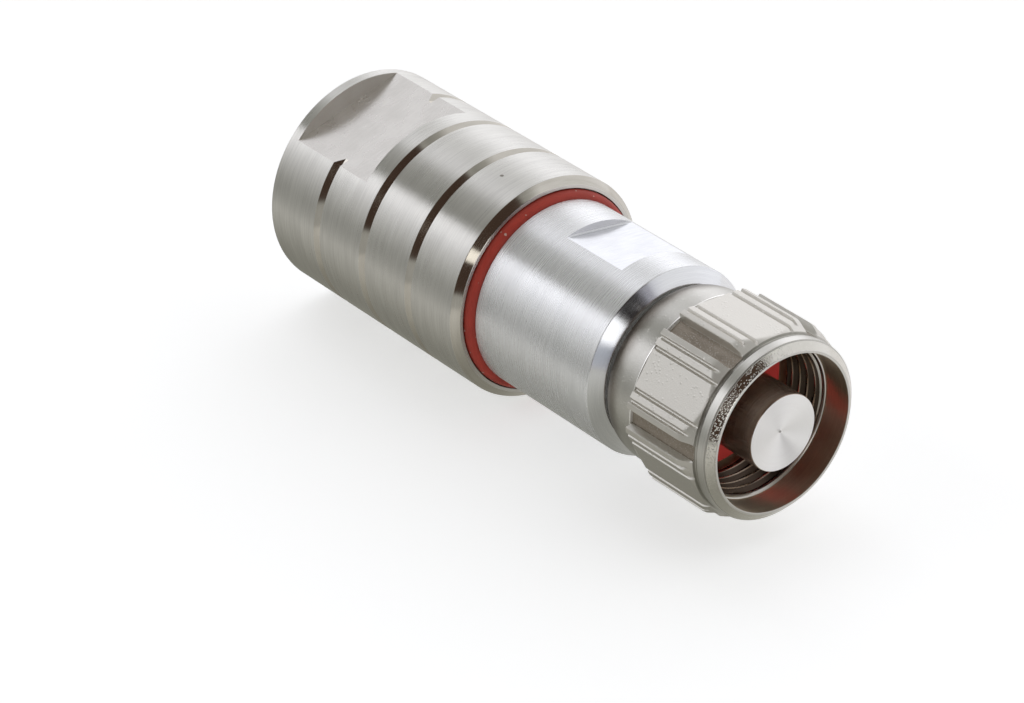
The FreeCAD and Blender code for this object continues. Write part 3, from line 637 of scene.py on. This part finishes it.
def milled_metal(name, dark, light, rough, bump):
    """Plated metal with faint straight marks, ten times as long as they are wide."""
    material, graph = new_finish(name)
    vector, x, y, z = graph.place()
    scaled = {0: x * MILL_SPREAD, 1: y * MILL_SPREAD, 2: z * MILL_MARKS}
    stretched = graph.add("ShaderNodeCombineXYZ", inputs=scaled)
    marks = graph.noise(stretched, 1.0, detail=3.0, roughness=0.6)
    cloud = graph.noise(vector, 400.0, detail=4.0)
    tone = graph.step(marks * 0.4 + cloud * 0.6, 0.3, 0.7)
    graph.dress({
        "Base Color": graph.mix(tone, dark, light),
        "Metallic": 1.0,
        "Roughness": (cloud - 0.5) * 0.12 + rough,
        "Normal": graph.bump(marks, bump),
    })
    return material


back_milled = milled_metal("back_nut_flat", (0.66, 0.64, 0.61), (0.76, 0.74, 0.71), 0.27, 0.14)
back_wall = milled_metal("back_nut_flat_wall", (0.92, 0.88, 0.82), (0.97, 0.94, 0.89), 0.45, 0.10)
body_wall = milled_metal("front_body_flat_wall", (0.90, 0.90, 0.94), (0.96, 0.96, 0.98), 0.42, 0.10)
body_milled = milled_metal("front_body_flat", (0.64, 0.65, 0.67), (0.73, 0.74, 0.76), 0.25, 0.14)
print("milled marks are", round(MILL_MARKS / MILL_SPREAD), "times as long as wide")

# %% [markdown]
# ## The back nut
#
# The back nut is a turned sleeve with three cut lines, two flats near its rear rim and a bevelled mouth.
# Its inner screw thread is a plain wall in the CAD solid and a ridge here. Two corners at one place, only
# one of them with a flat, make the upright wall where the flat ends.

# %% The back nut's outline
back_high = span("back_nut")[1]
BACK_RADIUS, BACK_LENGTH = back_high[0], back_high[2]
BACK_FLAT, FLAT_LENGTH, RIM_WIDTH = 9.75, 11.3, 1.25
LINE_WIDTH, LINE_DEPTH, LINE_SLOPE, LINE_EDGE = 1.05, 0.56, 1.15, 0.03
LINE_HEIGHTS = (7.7, 15.15, 22.6)
BEVEL = 0.72
MOUTH_RADIUS, MOUTH_FLOOR = 10.6, 28.0
SCREW_WALL, SCREW_BOTTOM = 9.65, 12.65
SEAT_RADIUS, ENTRY_RADIUS, ENTRY_DEPTH, ENTRY_LEAD = 8.45, 7.0, 2.2, 0.4
SCREW_PITCH, SCREW_DEPTH = 1.0, 0.36
BACK_HALF = math.acos(BACK_FLAT / BACK_RADIUS)
TURNED, BRIGHT, MILLED, INSIDE, WALL = range(5)


def line_corners(middle, flat=NO_FLAT):
    """The four corners of a turned line: its rear wall slopes, its front wall is nearly upright."""
    half = LINE_WIDTH / 2
    floor = BACK_RADIUS - LINE_DEPTH
    return [
        corner(BACK_RADIUS, middle - half, LINE_EDGE, BRIGHT, flat=flat),
        corner(floor, middle - half + LINE_DEPTH * LINE_SLOPE, LINE_EDGE, BRIGHT, flat=flat),
        corner(floor, middle + half - 0.02, LINE_EDGE, BRIGHT, flat=flat),
        corner(BACK_RADIUS, middle + half, LINE_EDGE, TURNED, flat=flat),
    ]


def back_nut_corners():
    """Up the outside past the flats and lines, over the bevel, and down the inside."""
    outside = [
        corner(ENTRY_RADIUS + ENTRY_LEAD, 0, finish=TURNED),
        corner(BACK_RADIUS, 0, 0.2, TURNED),
        corner(BACK_RADIUS, RIM_WIDTH, 0, TURNED),
        corner(BACK_RADIUS, RIM_WIDTH, 0, TURNED, flat=BACK_FLAT),
        *line_corners(LINE_HEIGHTS[0], BACK_FLAT),
        corner(BACK_RADIUS, RIM_WIDTH + FLAT_LENGTH, 0, TURNED, flat=BACK_FLAT),
        corner(BACK_RADIUS, RIM_WIDTH + FLAT_LENGTH, 0, TURNED),
        *line_corners(LINE_HEIGHTS[1]),
        *line_corners(LINE_HEIGHTS[2]),
    ]
    inside = [
        corner(BACK_RADIUS, BACK_LENGTH - BEVEL, 0.05, BRIGHT),
        corner(BACK_RADIUS - BEVEL, BACK_LENGTH, 0.05, TURNED),
        *path(INSIDE, (MOUTH_RADIUS, BACK_LENGTH), (MOUTH_RADIUS, MOUTH_FLOOR)),
        corner(SCREW_WALL, MOUTH_FLOOR, 0, INSIDE),
        corner(SCREW_WALL, MOUTH_FLOOR - 0.5, 0, INSIDE, parts=112, thread=-SCREW_DEPTH),
        corner(SCREW_WALL, SCREW_BOTTOM + 0.9, 0, INSIDE, thread=-SCREW_DEPTH),
        corner(SCREW_WALL, SCREW_BOTTOM, 0, INSIDE),
        *path(INSIDE, (SEAT_RADIUS, SCREW_BOTTOM), (SEAT_RADIUS, ENTRY_DEPTH),
              (ENTRY_RADIUS, ENTRY_DEPTH), (ENTRY_RADIUS, ENTRY_LEAD)),
    ]
    return outside + inside


def back_nut_shape(values, finishes):
    """Cuts the thread inside and the two flats outside."""
    cut_thread(values, SCREW_PITCH)
    return mill_flats(values, finishes, -math.pi / 2, BACK_HALF, MILLED, WALL)


back_angles = round_angles(-math.pi / 2, BACK_HALF, 48, 100)
turned_piece("back_nut_turned_sleeve", "back_nut", "clamp_nut", back_nut_corners(),
             [back_turned, back_polished, back_milled, inside_turned, back_wall], back_angles,
             back_nut_shape)

# %% [markdown]
# ## The red sealing ring
#
# A silicone ring fills the gap between the back nut and the front body. It is a torus: a circle carried
# round the axis. Moulded silicone is matt, with dust on it.

# %% Silicone
DUST_COLOUR = (0.62, 0.42, 0.36)


def silicone(name, deep, pale, rough, specks):
    """Matt rubber with a slow drift in colour and a few pale specks of dust."""
    material, graph = new_finish(name)
    vector = graph.place()[0]
    drift = graph.noise(vector, 500.0, detail=4.0)
    fine = graph.noise(vector, 6000.0, detail=2.0)
    dust = graph.step(graph.noise(vector, 2600.0, detail=0.0), specks, specks + 0.02)
    graph.dress({
        "Base Color": graph.mix(dust, graph.mix(drift, deep, pale), DUST_COLOUR),
        "Roughness": (fine - 0.5) * 0.1 + rough,
        "Specular IOR Level": 0.35,
        "Normal": graph.bump(fine, 0.25),
    })
    return material


red_silicone = silicone("red_silicone", (0.39, 0.042, 0.028), (0.50, 0.062, 0.040), 0.52, 0.80)
ROUND = np.linspace(0, 2 * math.pi, 240, endpoint=False)


def make_seal_ring():
    """Torus: radius R + a cos t and height h + a sin t, with R, h and a from the CAD ring's box."""
    low, high = span("body_seal_ring")
    section = (high[2] - low[2]) / 2
    centre, height = high[0] - section, (high[2] + low[2]) / 2
    t = np.linspace(0, 2 * math.pi, 40, endpoint=False)
    corners = path(0, *zip(centre + section * np.cos(t), height + section * np.sin(t)), soft=0)
    turned_piece("red_seal_ring", "body_seal_ring", "plug_body", corners,
                 [red_silicone], ROUND)


make_seal_ring()

# %% [markdown]
# ## The front body
#
# The front body is the long bright barrel. Behind it a threaded spigot goes into the back nut, in front a
# neck carries the coupling nut. Its two flats end in a small fillet where the cutter turned up.

# %% The front body's outline
body_low, body_high = span("front_body")
BODY_RADIUS, BODY_FLAT = 9.82, 8.95
BODY_TURN = math.radians(-24.0)
BODY_HALF = math.acos(BODY_FLAT / BODY_RADIUS)
SPIGOT_BOTTOM, SPIGOT_TOP, SPIGOT_RADIUS, SPIGOT_BORE = body_low[2], 26.75, 9.2, 8.25
SPIGOT_CHAMFER, SPIGOT_RELIEF = 0.5, 0.25
SHOULDER_BOTTOM, RING_FLOOR, RING_BOTTOM, RING_TOP = 28.3, 8.64, 29.01, 30.87
FLAT_START, FLAT_END, FLAT_FILLET = 36.1, 44.25, 0.20
BODY_FRONT, NECK_RADIUS, NECK_TOP = 47.65, 7.4, 54.45
FACE_RING, THROAT, THROAT_BOTTOM = 4.95, 4.6, 46.0
BORE, CAVITY_TOP = 6.0, 24.0
FACED = BRIGHT
# The end face falls away towards its rim as a cone, and is level again under the nut's tail.
SHOULDER_INNER = 8.36
SHOULDER_RISE = (BODY_RADIUS - SHOULDER_INNER) * math.tan(math.radians(32))
# Grooves: the floor's radius, and the heights of the wall that is met first and of the other.
NECK_GROOVES = ((6.69, 49.42, 50.18), (6.7, 51.55, 52.65))
CLIP_GROOVE = (6.5, 25.35, 24.45)


def flat_corners():
    """The flat's rows: an upright wall, a quarter circle down to the plane, and a plain end."""
    t = np.linspace(0, math.pi / 2, 9)
    heights = FLAT_START + FLAT_FILLET * (1 - np.cos(t))
    planes = BODY_FLAT + FLAT_FILLET * (1 - np.sin(t))
    return [
        corner(BODY_RADIUS, FLAT_START, 0, TURNED),
        *[corner(BODY_RADIUS, height, 0, TURNED, flat=plane) for height, plane in zip(heights, planes)],
        corner(BODY_RADIUS, FLAT_END, 0, TURNED, flat=BODY_FLAT),
        corner(BODY_RADIUS, FLAT_END, 0, TURNED),
    ]


def front_body_corners():
    """Up the spigot, the ring's groove, the barrel and the neck, and down through the bore."""
    relief = SPIGOT_RADIUS - SPIGOT_RELIEF
    return [
        *path(INSIDE, (SPIGOT_BORE, SPIGOT_BOTTOM), (SPIGOT_RADIUS - SPIGOT_CHAMFER, SPIGOT_BOTTOM)),
        corner(SPIGOT_RADIUS, SPIGOT_BOTTOM + SPIGOT_CHAMFER, 0, INSIDE),
        corner(SPIGOT_RADIUS, SPIGOT_BOTTOM + 1.0, 0, INSIDE, parts=100, thread=SCREW_DEPTH),
        corner(SPIGOT_RADIUS, SPIGOT_TOP - 0.6, 0, INSIDE, thread=SCREW_DEPTH),
        corner(SPIGOT_RADIUS, SPIGOT_TOP, 0, INSIDE),
        *path(INSIDE, (relief, SPIGOT_TOP + SPIGOT_RELIEF), (relief, SHOULDER_BOTTOM)),
        corner(BODY_RADIUS, SHOULDER_BOTTOM, finish=TURNED),
        corner(BODY_RADIUS, RING_BOTTOM, 0.04, INSIDE),
        *path(INSIDE, (RING_FLOOR, RING_BOTTOM), (RING_FLOOR, RING_TOP)),
        corner(BODY_RADIUS, RING_TOP, 0.05, TURNED),
        *flat_corners(),
        corner(BODY_RADIUS, BODY_FRONT, 0.10, FACED),
        corner(SHOULDER_INNER, BODY_FRONT + SHOULDER_RISE, 0.08, TURNED),
        corner(NECK_RADIUS, BODY_FRONT + SHOULDER_RISE, 0.05, TURNED),
        *groove(NECK_RADIUS, *NECK_GROOVES[0], TURNED),
        *groove(NECK_RADIUS, *NECK_GROOVES[1], TURNED),
        *path(TURNED, (NECK_RADIUS, NECK_TOP), (FACE_RING, NECK_TOP), (FACE_RING, body_high[2]),
              (THROAT, body_high[2])),
        *path(INSIDE, (THROAT, THROAT_BOTTOM), (BORE, THROAT_BOTTOM)),
        *groove(BORE, *CLIP_GROOVE, INSIDE),
        *path(INSIDE, (BORE, CAVITY_TOP), (SPIGOT_BORE, CAVITY_TOP)),
    ]


def front_body_shape(values, finishes):
    """Cuts the spigot's thread, half a pitch from the back nut's, and the two flats."""
    cut_thread(values, SCREW_PITCH, 0.5)
    return mill_flats(values, finishes, -math.pi / 2 + BODY_TURN, BODY_HALF, MILLED, WALL)


body_angles = round_angles(-math.pi / 2 + BODY_TURN, BODY_HALF, 40, 100)
turned_piece("front_body_barrel", "front_body", "plug_body", front_body_corners(),
             [body_turned, body_faced, body_milled, inside_turned, body_wall], body_angles,
             front_body_shape)

# %% [markdown]
# ## The coupling nut
#
# The coupling nut was cast or forged close to shape before its ends were turned, so its six grip faces
# have a grainy satin skin. The grip's outline is drawn once for half a side, seen along the axis: a flat
# face, two small grooves and half of the channel along the corner. Its mirror image makes the other half.
# Each column of the grid stands at one point of the outline, and the front cone comes from taking the
# smaller of the outline and a falling radius, with their crossing rounded.

# %% The grip's outline
NUT_TURN = math.radians(-18.9) - math.pi / 2
FACE, CREST = 9.4, 10.05
GROOVE_ANGLES = (13.0, 19.3)
GROOVE_HALF, GROOVE_DEPTH, GROOVE_EDGE = 0.24, 0.36, 0.05
CHANNEL_FLOOR, CHANNEL_HALF = 9.16, 0.90
# How far the channel's wall leans, as angles at its crest and at its foot.
CREST_LEAN, FOOT_LEAN = 0.012, 0.006


def half_side():
    """Corners of half a side, from the face's middle to the channel's, as (across, out, soft, parts)."""
    points = [(0.0, FACE, 0, 5)]
    floor = FACE - GROOVE_DEPTH
    section = ((-GROOVE_HALF, FACE, 1), (-GROOVE_HALF / 3, floor, 1), (GROOVE_HALF / 3, floor, 1),
               (GROOVE_HALF, FACE, 2))
    for degrees in GROOVE_ANGLES:
        middle = FACE * math.tan(math.radians(degrees))
        points += [(middle + across, out, GROOVE_EDGE, parts) for across, out, parts in section]
    half = math.pi / 6
    wall = half - math.asin(CHANNEL_HALF / CREST)
    channel = ((CREST, wall - CREST_LEAN, 0.1, 1), (CHANNEL_FLOOR, wall + FOOT_LEAN, 0.12, 3),
               (CHANNEL_FLOOR, half, 0, 1))
    points += [(out * math.sin(turn), out * math.cos(turn), *rest) for out, turn, *rest in channel]
    return points


def grip_outline():
    """Angles and radii of the grip's points all round: each half side, its mirror image, six times."""
    half = [corner(across, out, soft, parts=parts) for across, out, soft, parts in half_side()]
    rows = outline(half, closed=False, steps=2)[0]
    angles, radii = np.arctan2(rows[:, 0], rows[:, 1]), np.hypot(rows[:, 0], rows[:, 1])
    side_angles = np.concatenate([-angles[:0:-1], angles[:-1]])
    side_radii = np.concatenate([radii[:0:-1], radii[:-1]])
    turns = np.arange(6)[:, None] * math.pi / 3
    return (NUT_TURN + turns + side_angles).ravel(), np.tile(side_radii, 6)


grip_angles, grip_radii = grip_outline()
print("the grip has", len(grip_angles), "columns, all rising:", bool((np.diff(grip_angles) > 0).all()))

# %% [markdown]
# ### A cast skin, and a thread with painted shade
#
# A casting isn't flat under its plate: it has a fine grain and, here and there, round beads from the mould.
# Noise makes the grain. The beads are low domes in the cells of a Voronoi pattern, because the peaks of a
# noise look like worms, and their paler colour is a painted highlight. The thread's flanks are dark with
# painted shade, and only its crests are bright, with a painted highlight. The channels' dark colour and the
# collar's dark tail are painted shade too.

# %% Finishes of the coupling nut
CAST_DEPTH = 0.00004
# Painted shade for the collar's tail, where it meets the body's shoulder.
TAIL_SHADE_COLOUR = (0.12, 0.09, 0.065)
# The raised dots are lightened towards this colour: a painted highlight on real bumps.
DOT_HIGHLIGHT_COLOUR = (0.92, 0.90, 0.86)
THREAD_PITCH, THREAD_DEPTH = 1.058, 0.47


def cast_metal(name, dark, light, rough, grain, rise=0.4, dots_per_metre=2600.0, reach=0.42,
               cover=(0.45, 0.62), painted_shade=None):
    """Satin plate over a grainy skin with round raised dots, whose paler colour is a painted highlight.

    A dot is a low dome about each cell's point, and cover says where a cloud lets dots through. Below
    two heights lies a painted shade, which fades out between them.
    """
    material, graph = new_finish(name)
    vector, *_, z = graph.place()
    fine = graph.noise(vector, 7000.0, detail=2.0)
    away = graph.add("ShaderNodeTexVoronoi", inputs={"Vector": vector, "Scale": dots_per_metre})
    crowd = graph.step(graph.noise(vector, 900.0, detail=1.0), *cover)
    dots = (1 - graph.step(away, 0.0, reach)) * crowd
    cloud = graph.noise(vector, 350.0, detail=3.0)
    # A dot is raised by the bump and also lightened in colour as a painted highlight.
    colour = graph.mix(dots * 0.3, graph.mix(cloud * 0.6 + fine * 0.4, dark, light), DOT_HIGHLIGHT_COLOUR)
    # Below two heights the colour is darkened towards a painted shade.
    if painted_shade:
        low, high = painted_shade
        unshaded = graph.step(z + (cloud - 0.5) * 1.2 * MM, low * MM, high * MM)
        colour = graph.mix(unshaded, graph.mix(fine * 0.35, TAIL_SHADE_COLOUR, light), colour)
    graph.dress({
        "Base Color": colour,
        "Metallic": 1.0,
        "Roughness": (cloud - 0.5) * 0.1 + rough,
        "Normal": graph.bump(fine * grain + dots * rise, 0.35, CAST_DEPTH),
    })
    return material


def painted_shade_thread_metal(name, deep, crest, pitch):
    """Painted shade on the flanks and a thin painted highlight on the crests. A crest lies where
    z / pitch less the turn is half a pitch.
    """
    material, graph = new_finish(name)
    vector, x, y, z = graph.place()
    turns = z * (1 / (pitch * MM)) - graph.math("ARCTAN2", y, x) * (0.5 / math.pi)
    away = graph.math("ABSOLUTE", graph.math("FRACT", turns) - 0.5)
    crest_painted_highlight = 1 - graph.step(away, 0.06, 0.13)
    cloud = graph.noise(vector, 900.0, detail=3.0)
    graph.dress({
        "Base Color": graph.mix(crest_painted_highlight, deep, crest),
        "Metallic": 1.0,
        "Roughness": (cloud - 0.5) * 0.15 + 0.28,
    })
    return material


nut_satin = cast_metal("coupling_nut_grip", (0.64, 0.62, 0.575), (0.76, 0.74, 0.695), 0.42, 0.9, 2.2)
# The channels' dark colour is painted shade in the recess; their grain and dots are the cast skin.
nut_channel_shaded = cast_metal(
    "coupling_nut_channel", (0.16, 0.13, 0.10), (0.46, 0.41, 0.35), 0.34, 1.8, 2.0,
    dots_per_metre=4500.0, cover=(0.2, 0.5))
nut_turned = turned_metal(
    "coupling_nut_turned", (0.60, 0.59, 0.555), (0.70, 0.69, 0.65), 0.30, 0.10, 0.35, 0.10)
nut_mouth = turned_metal(
    "coupling_nut_mouth", (0.80, 0.67, 0.51), (0.92, 0.79, 0.61), 0.30, 0.05, 0.90, 0.15)
nut_bevel = cast_metal(
    "coupling_nut_bevel", (0.70, 0.68, 0.62), (0.86, 0.84, 0.79), 0.08, 0.15, 1.6,
    dots_per_metre=6000.0, reach=0.5, cover=(0.2, 0.5))
# The collar's tail is darkened with painted shade, fading out from 49.7 to 51.7 mm.
nut_collar = cast_metal(
    "coupling_nut_collar", (0.46, 0.45, 0.42), (0.70, 0.69, 0.65), 0.30, 0.9, 1.0, painted_shade=(49.7, 51.7))
# The thread's dark flanks are painted shade and its light crests a painted highlight.
nut_thread = painted_shade_thread_metal("coupling_nut_thread", (0.075, 0.055, 0.043), (0.50, 0.41, 0.33), THREAD_PITCH)
nut_edge = turned_metal(
    "coupling_nut_edge", (0.88, 0.87, 0.84), (0.96, 0.95, 0.93), 0.20, 0.05, 0.30, 0.05)
NUT_FINISHES = [nut_satin, nut_channel_shaded, nut_turned, nut_mouth, nut_bevel, nut_thread, nut_edge, nut_collar]
SATIN, SHADED_CHANNEL, SMOOTH, MOUTH, SPECKLED, THREADED, BEADED, GRAINY = range(len(NUT_FINISHES))
print("the coupling nut has", len(NUT_FINISHES), "finishes")

# %% The coupling nut's outline
nut_low, nut_high = span("coupling_nut")
NUT_REAR, NUT_FRONT = nut_low[2], nut_high[2]
NUT_BORE, TAIL, COLLAR, COLLAR_CURVE = 7.46, 8.05, 9.12, 2.9
BEAD_START, BEAD_WIDTH, BEAD_RISE = 53.16, 0.44, 0.26
GRIP_START, GRIP_END, GRIP_TAPER, GRIP_FRONT = 53.6, 62.3, 1.5, 9.35
RELIEF, RELIEF_WIDTH, NUT_NECK, LIP, LIP_DROP = 9.02, 0.3, 9.15, 8.34, 0.62
STEP_HEIGHT, STEP_DEPTH = 0.12, 0.14
MOUTH_BORE, THREAD_WALL, THREAD_TOP, THREAD_BOTTOM = 8.05, 7.94, 61.15, 55.95
MOUTH_SHELF, SNAP_ROOM = 54.2, (8.25, 52.9, 51.3)
CROSSING_WIDTH = 0.05


def collar_corners():
    """The collar: a quarter ellipse up from the tail, and a low bright bead where the grip begins."""
    t = np.linspace(0, math.pi / 2, 10)
    radii = TAIL + (COLLAR - TAIL) * np.sin(t)
    heights = NUT_REAR + COLLAR_CURVE * (1 - np.cos(t))
    return [
        *[corner(radius, height, 0, GRAINY) for radius, height in zip(radii, heights)],
        corner(COLLAR, BEAD_START, 0, BEADED),
        corner(COLLAR + BEAD_RISE, BEAD_START + BEAD_WIDTH * 0.4, 0.06, BEADED),
        corner(COLLAR + BEAD_RISE, BEAD_START + BEAD_WIDTH * 0.75, 0.04, SATIN),
    ]


def coupling_nut_corners():
    """Up the collar, the grip, the neck and the bevelled lip, then down the mouth and its thread."""
    grip = [
        corner(COLLAR, GRIP_START, 0, SATIN),
        corner(CREST, GRIP_START + 0.02, 0, SATIN, parts=2, grip=1.0),
        corner(CREST, GRIP_END - GRIP_TAPER, 0.3, SATIN, parts=9, grip=1.0),
        corner(GRIP_FRONT, GRIP_END, 0, SMOOTH, grip=1.0),
    ]
    step = NUT_FRONT - LIP_DROP - STEP_HEIGHT
    front = [
        *path(SMOOTH, (RELIEF, GRIP_END), (RELIEF, GRIP_END + RELIEF_WIDTH), soft=0.08),
        corner(NUT_NECK, GRIP_END + RELIEF_WIDTH, 0.1, SMOOTH),
        corner(NUT_NECK, step, 0.04, SMOOTH),
        corner(NUT_NECK - STEP_DEPTH, step, 0.03, SMOOTH),
        corner(NUT_NECK - STEP_DEPTH, NUT_FRONT - LIP_DROP, 0.03, SPECKLED),
        corner(LIP, NUT_FRONT, 0.06, SMOOTH),
        corner(MOUTH_BORE, NUT_FRONT, 0.06, MOUTH),
    ]
    inside = [
        corner(MOUTH_BORE, THREAD_TOP + 0.05, 0, SMOOTH),
        corner(THREAD_WALL, THREAD_TOP, 0, SMOOTH, parts=4),
        corner(THREAD_WALL, THREAD_TOP - 0.55, 0, THREADED, parts=34, thread=-THREAD_DEPTH),
        corner(THREAD_WALL, THREAD_BOTTOM + 0.3, 0, THREADED, parts=3, thread=-THREAD_DEPTH),
        *path(MOUTH, (THREAD_WALL, THREAD_BOTTOM), (MOUTH_BORE, THREAD_BOTTOM),
              (MOUTH_BORE, MOUTH_SHELF), (NUT_BORE, MOUTH_SHELF), soft=0),
        *groove(NUT_BORE, *SNAP_ROOM, MOUTH),
        corner(NUT_BORE, NUT_REAR, 0, SMOOTH),
    ]
    return collar_corners() + grip + front + inside


def soft_minimum(first, second, width):
    """The smaller of two, with their crossing rounded over a width."""
    share = np.clip(0.5 + 0.5 * (second - first) / width, 0, 1)
    return second + (first - second) * share - width * share * (1 - share)


def coupling_nut_shape(values, finishes):
    """The grip's rows take the outline inside the row's radius. Low columns are sandy, with painted shade."""
    around = np.repeat(grip_radii[None, :], len(finishes), 0)
    on_grip = values["grip"] > 0.5
    cut = soft_minimum(values["radius"], around, CROSSING_WIDTH)
    values["radius"] = np.where(on_grip, cut, values["radius"])
    cut_thread(values, THREAD_PITCH)
    low = (around < CHANNEL_FLOOR + 0.03) & on_grip & np.roll(on_grip, -1, 0)
    return np.where(low, SHADED_CHANNEL, finishes)


turned_piece("coupling_nut_grip", "coupling_nut", "nut", coupling_nut_corners(),
             NUT_FINISHES, grip_angles, coupling_nut_shape)

# %% [markdown]
# ## The gasket and the contact
#
# Down in the mouth a red gasket lies round the contact. The contact is a silver-plated rod with a broad
# turned head. Its face is a very shallow cone that ends in a small pip, where the lathe tool came off.

# %% The gasket
GASKET_INNER, GASKET_EDGE = 5.0, 0.12
mouth_red = silicone("gasket_silicone", (0.40, 0.035, 0.030), (0.52, 0.055, 0.045), 0.48, 0.85)


def make_gasket():
    """A flat ring: a rectangle carried round, with its two front edges broken."""
    low, high = span("face_gasket")
    corners = path(0, (GASKET_INNER, low[2]), (high[0], low[2]))
    corners += path(0, (high[0], high[2]), (GASKET_INNER, high[2]), soft=GASKET_EDGE)
    turned_piece("mouth_gasket", "face_gasket", "plug_body", corners, [mouth_red], ROUND)


make_gasket()

# %% The contact
contact_face = turned_metal(
    "contact_face", (0.92, 0.91, 0.90), (0.96, 0.96, 0.95), 0.42, 0.06, 0.70, 0.08, fine=14000.0,
    nicked=0.98)
# The stem's brown is painted shade and a painted reflection of the dark, red mouth around it.
contact_side_painted_shade = turned_metal(
    "contact_side_painted_shade", (0.42, 0.33, 0.27), (0.58, 0.48, 0.41), 0.24, 0.10, 0.85, 0.25)
END, SIDE = range(2)
STUD, STEM, STEM_BOTTOM, HEAD_BOTTOM = 1.1, 1.8, 25.3, 52.0
DISH, PIP = 0.4, 0.16


def make_contact():
    """From the stud at the bottom, up the stem and the head, over the edge and down to the pip."""
    low, high = span("centre_contact")
    head, top = high[0], high[2]
    corners = [
        corner(0, low[2], 0, SIDE),
        corner(STUD, low[2], 0.1, SIDE),
        corner(STUD, STEM_BOTTOM, 0, SIDE),
        corner(STEM, STEM_BOTTOM, 0.1, SIDE),
        corner(STEM, HEAD_BOTTOM, 0, SIDE),
        corner(head, HEAD_BOTTOM, 0.1, SIDE),
        corner(head, top, 0.14, END, parts=6),
        corner(PIP, top - DISH, 0.02, END),
        corner(PIP / 2, top - DISH / 2, 0.02, END),
        corner(0, top - DISH / 2, 0, END),
    ]
    turned_piece("contact_rod", "centre_contact", "plug_body", corners,
                 [contact_face, contact_side_painted_shade], ROUND, closed=False)


make_contact()

# %% [markdown]
# ## The pieces inside
#
# The rest is only seen from behind or when the plug is opened: the seal, the collet and its spring, the
# insulators. Their CAD solids already have the right shape, so they get finishes only.

# %% Plain finishes for the inner pieces
INNER_SCALE = 900.0
# Each finish's deep and pale colour, its roughness and its metallic part.
PLAIN = {
    "bronze": ((0.46, 0.30, 0.14), (0.60, 0.41, 0.21), 0.30, 1.0),
    "spring_steel": ((0.42, 0.42, 0.43), (0.56, 0.56, 0.57), 0.28, 1.0),
    "black_rubber": ((0.018, 0.018, 0.019), (0.034, 0.033, 0.033), 0.62, 0.0),
    "white_insulator": ((0.78, 0.77, 0.74), (0.88, 0.87, 0.85), 0.42, 0.0),
    "grey_plastic": ((0.26, 0.27, 0.28), (0.36, 0.37, 0.38), 0.45, 0.0),
}


def plain_finish(name, deep, pale, rough, metallic):
    """A cloud of noise in colour, roughness and surface, for rubber, plastic and small metal parts."""
    material, graph = new_finish(name)
    vector = graph.place()[0]
    cloud = graph.noise(vector, INNER_SCALE, detail=4.0)
    fine = graph.noise(vector, INNER_SCALE * 9, detail=2.0)
    graph.dress({
        "Base Color": graph.mix(cloud, deep, pale),
        "Metallic": metallic,
        "Roughness": (fine - 0.5) * 0.12 + rough,
        "Normal": graph.bump(fine, 0.15),
    })
    return material


INNER_FINISHES = {name: plain_finish(name, *values) for name, values in PLAIN.items()}
INNER_FINISHES["warm_plate"] = turned_metal(
    "washer_plate", (0.60, 0.57, 0.52), (0.72, 0.69, 0.64), 0.3, 0.1, 0.5, 0.2)
INNER_FINISHES["silver_plate"] = turned_metal(
    "socket_silver", (0.80, 0.79, 0.77), (0.92, 0.91, 0.89), 0.25, 0.1, 0.5, 0.2)
print("finishes inside:", *INNER_FINISHES)

# %% Finishes by node
INNER_NODES = {
    "warm_plate": ["seal_washer"],
    "silver_plate": ["contact_socket"],
    "bronze": ["clamp_collet", "clamp_cone", "snap_ring"],
    "spring_steel": ["collet_spring", "insulator_clip"],
    "black_rubber": ["entry_seal", "neck_seal_ring"],
    "white_insulator": ["rear_insulator", "spacer_sleeve", "front_insulator", "neck_washer"],
    "grey_plastic": ["socket_guide"],
}
for finish, nodes in INNER_NODES.items():
    for node in nodes:
        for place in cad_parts[node].material_slots:
            place.material = INNER_FINISHES[finish]
print(sum(map(len, INNER_NODES.values())), "inner pieces have their finishes")
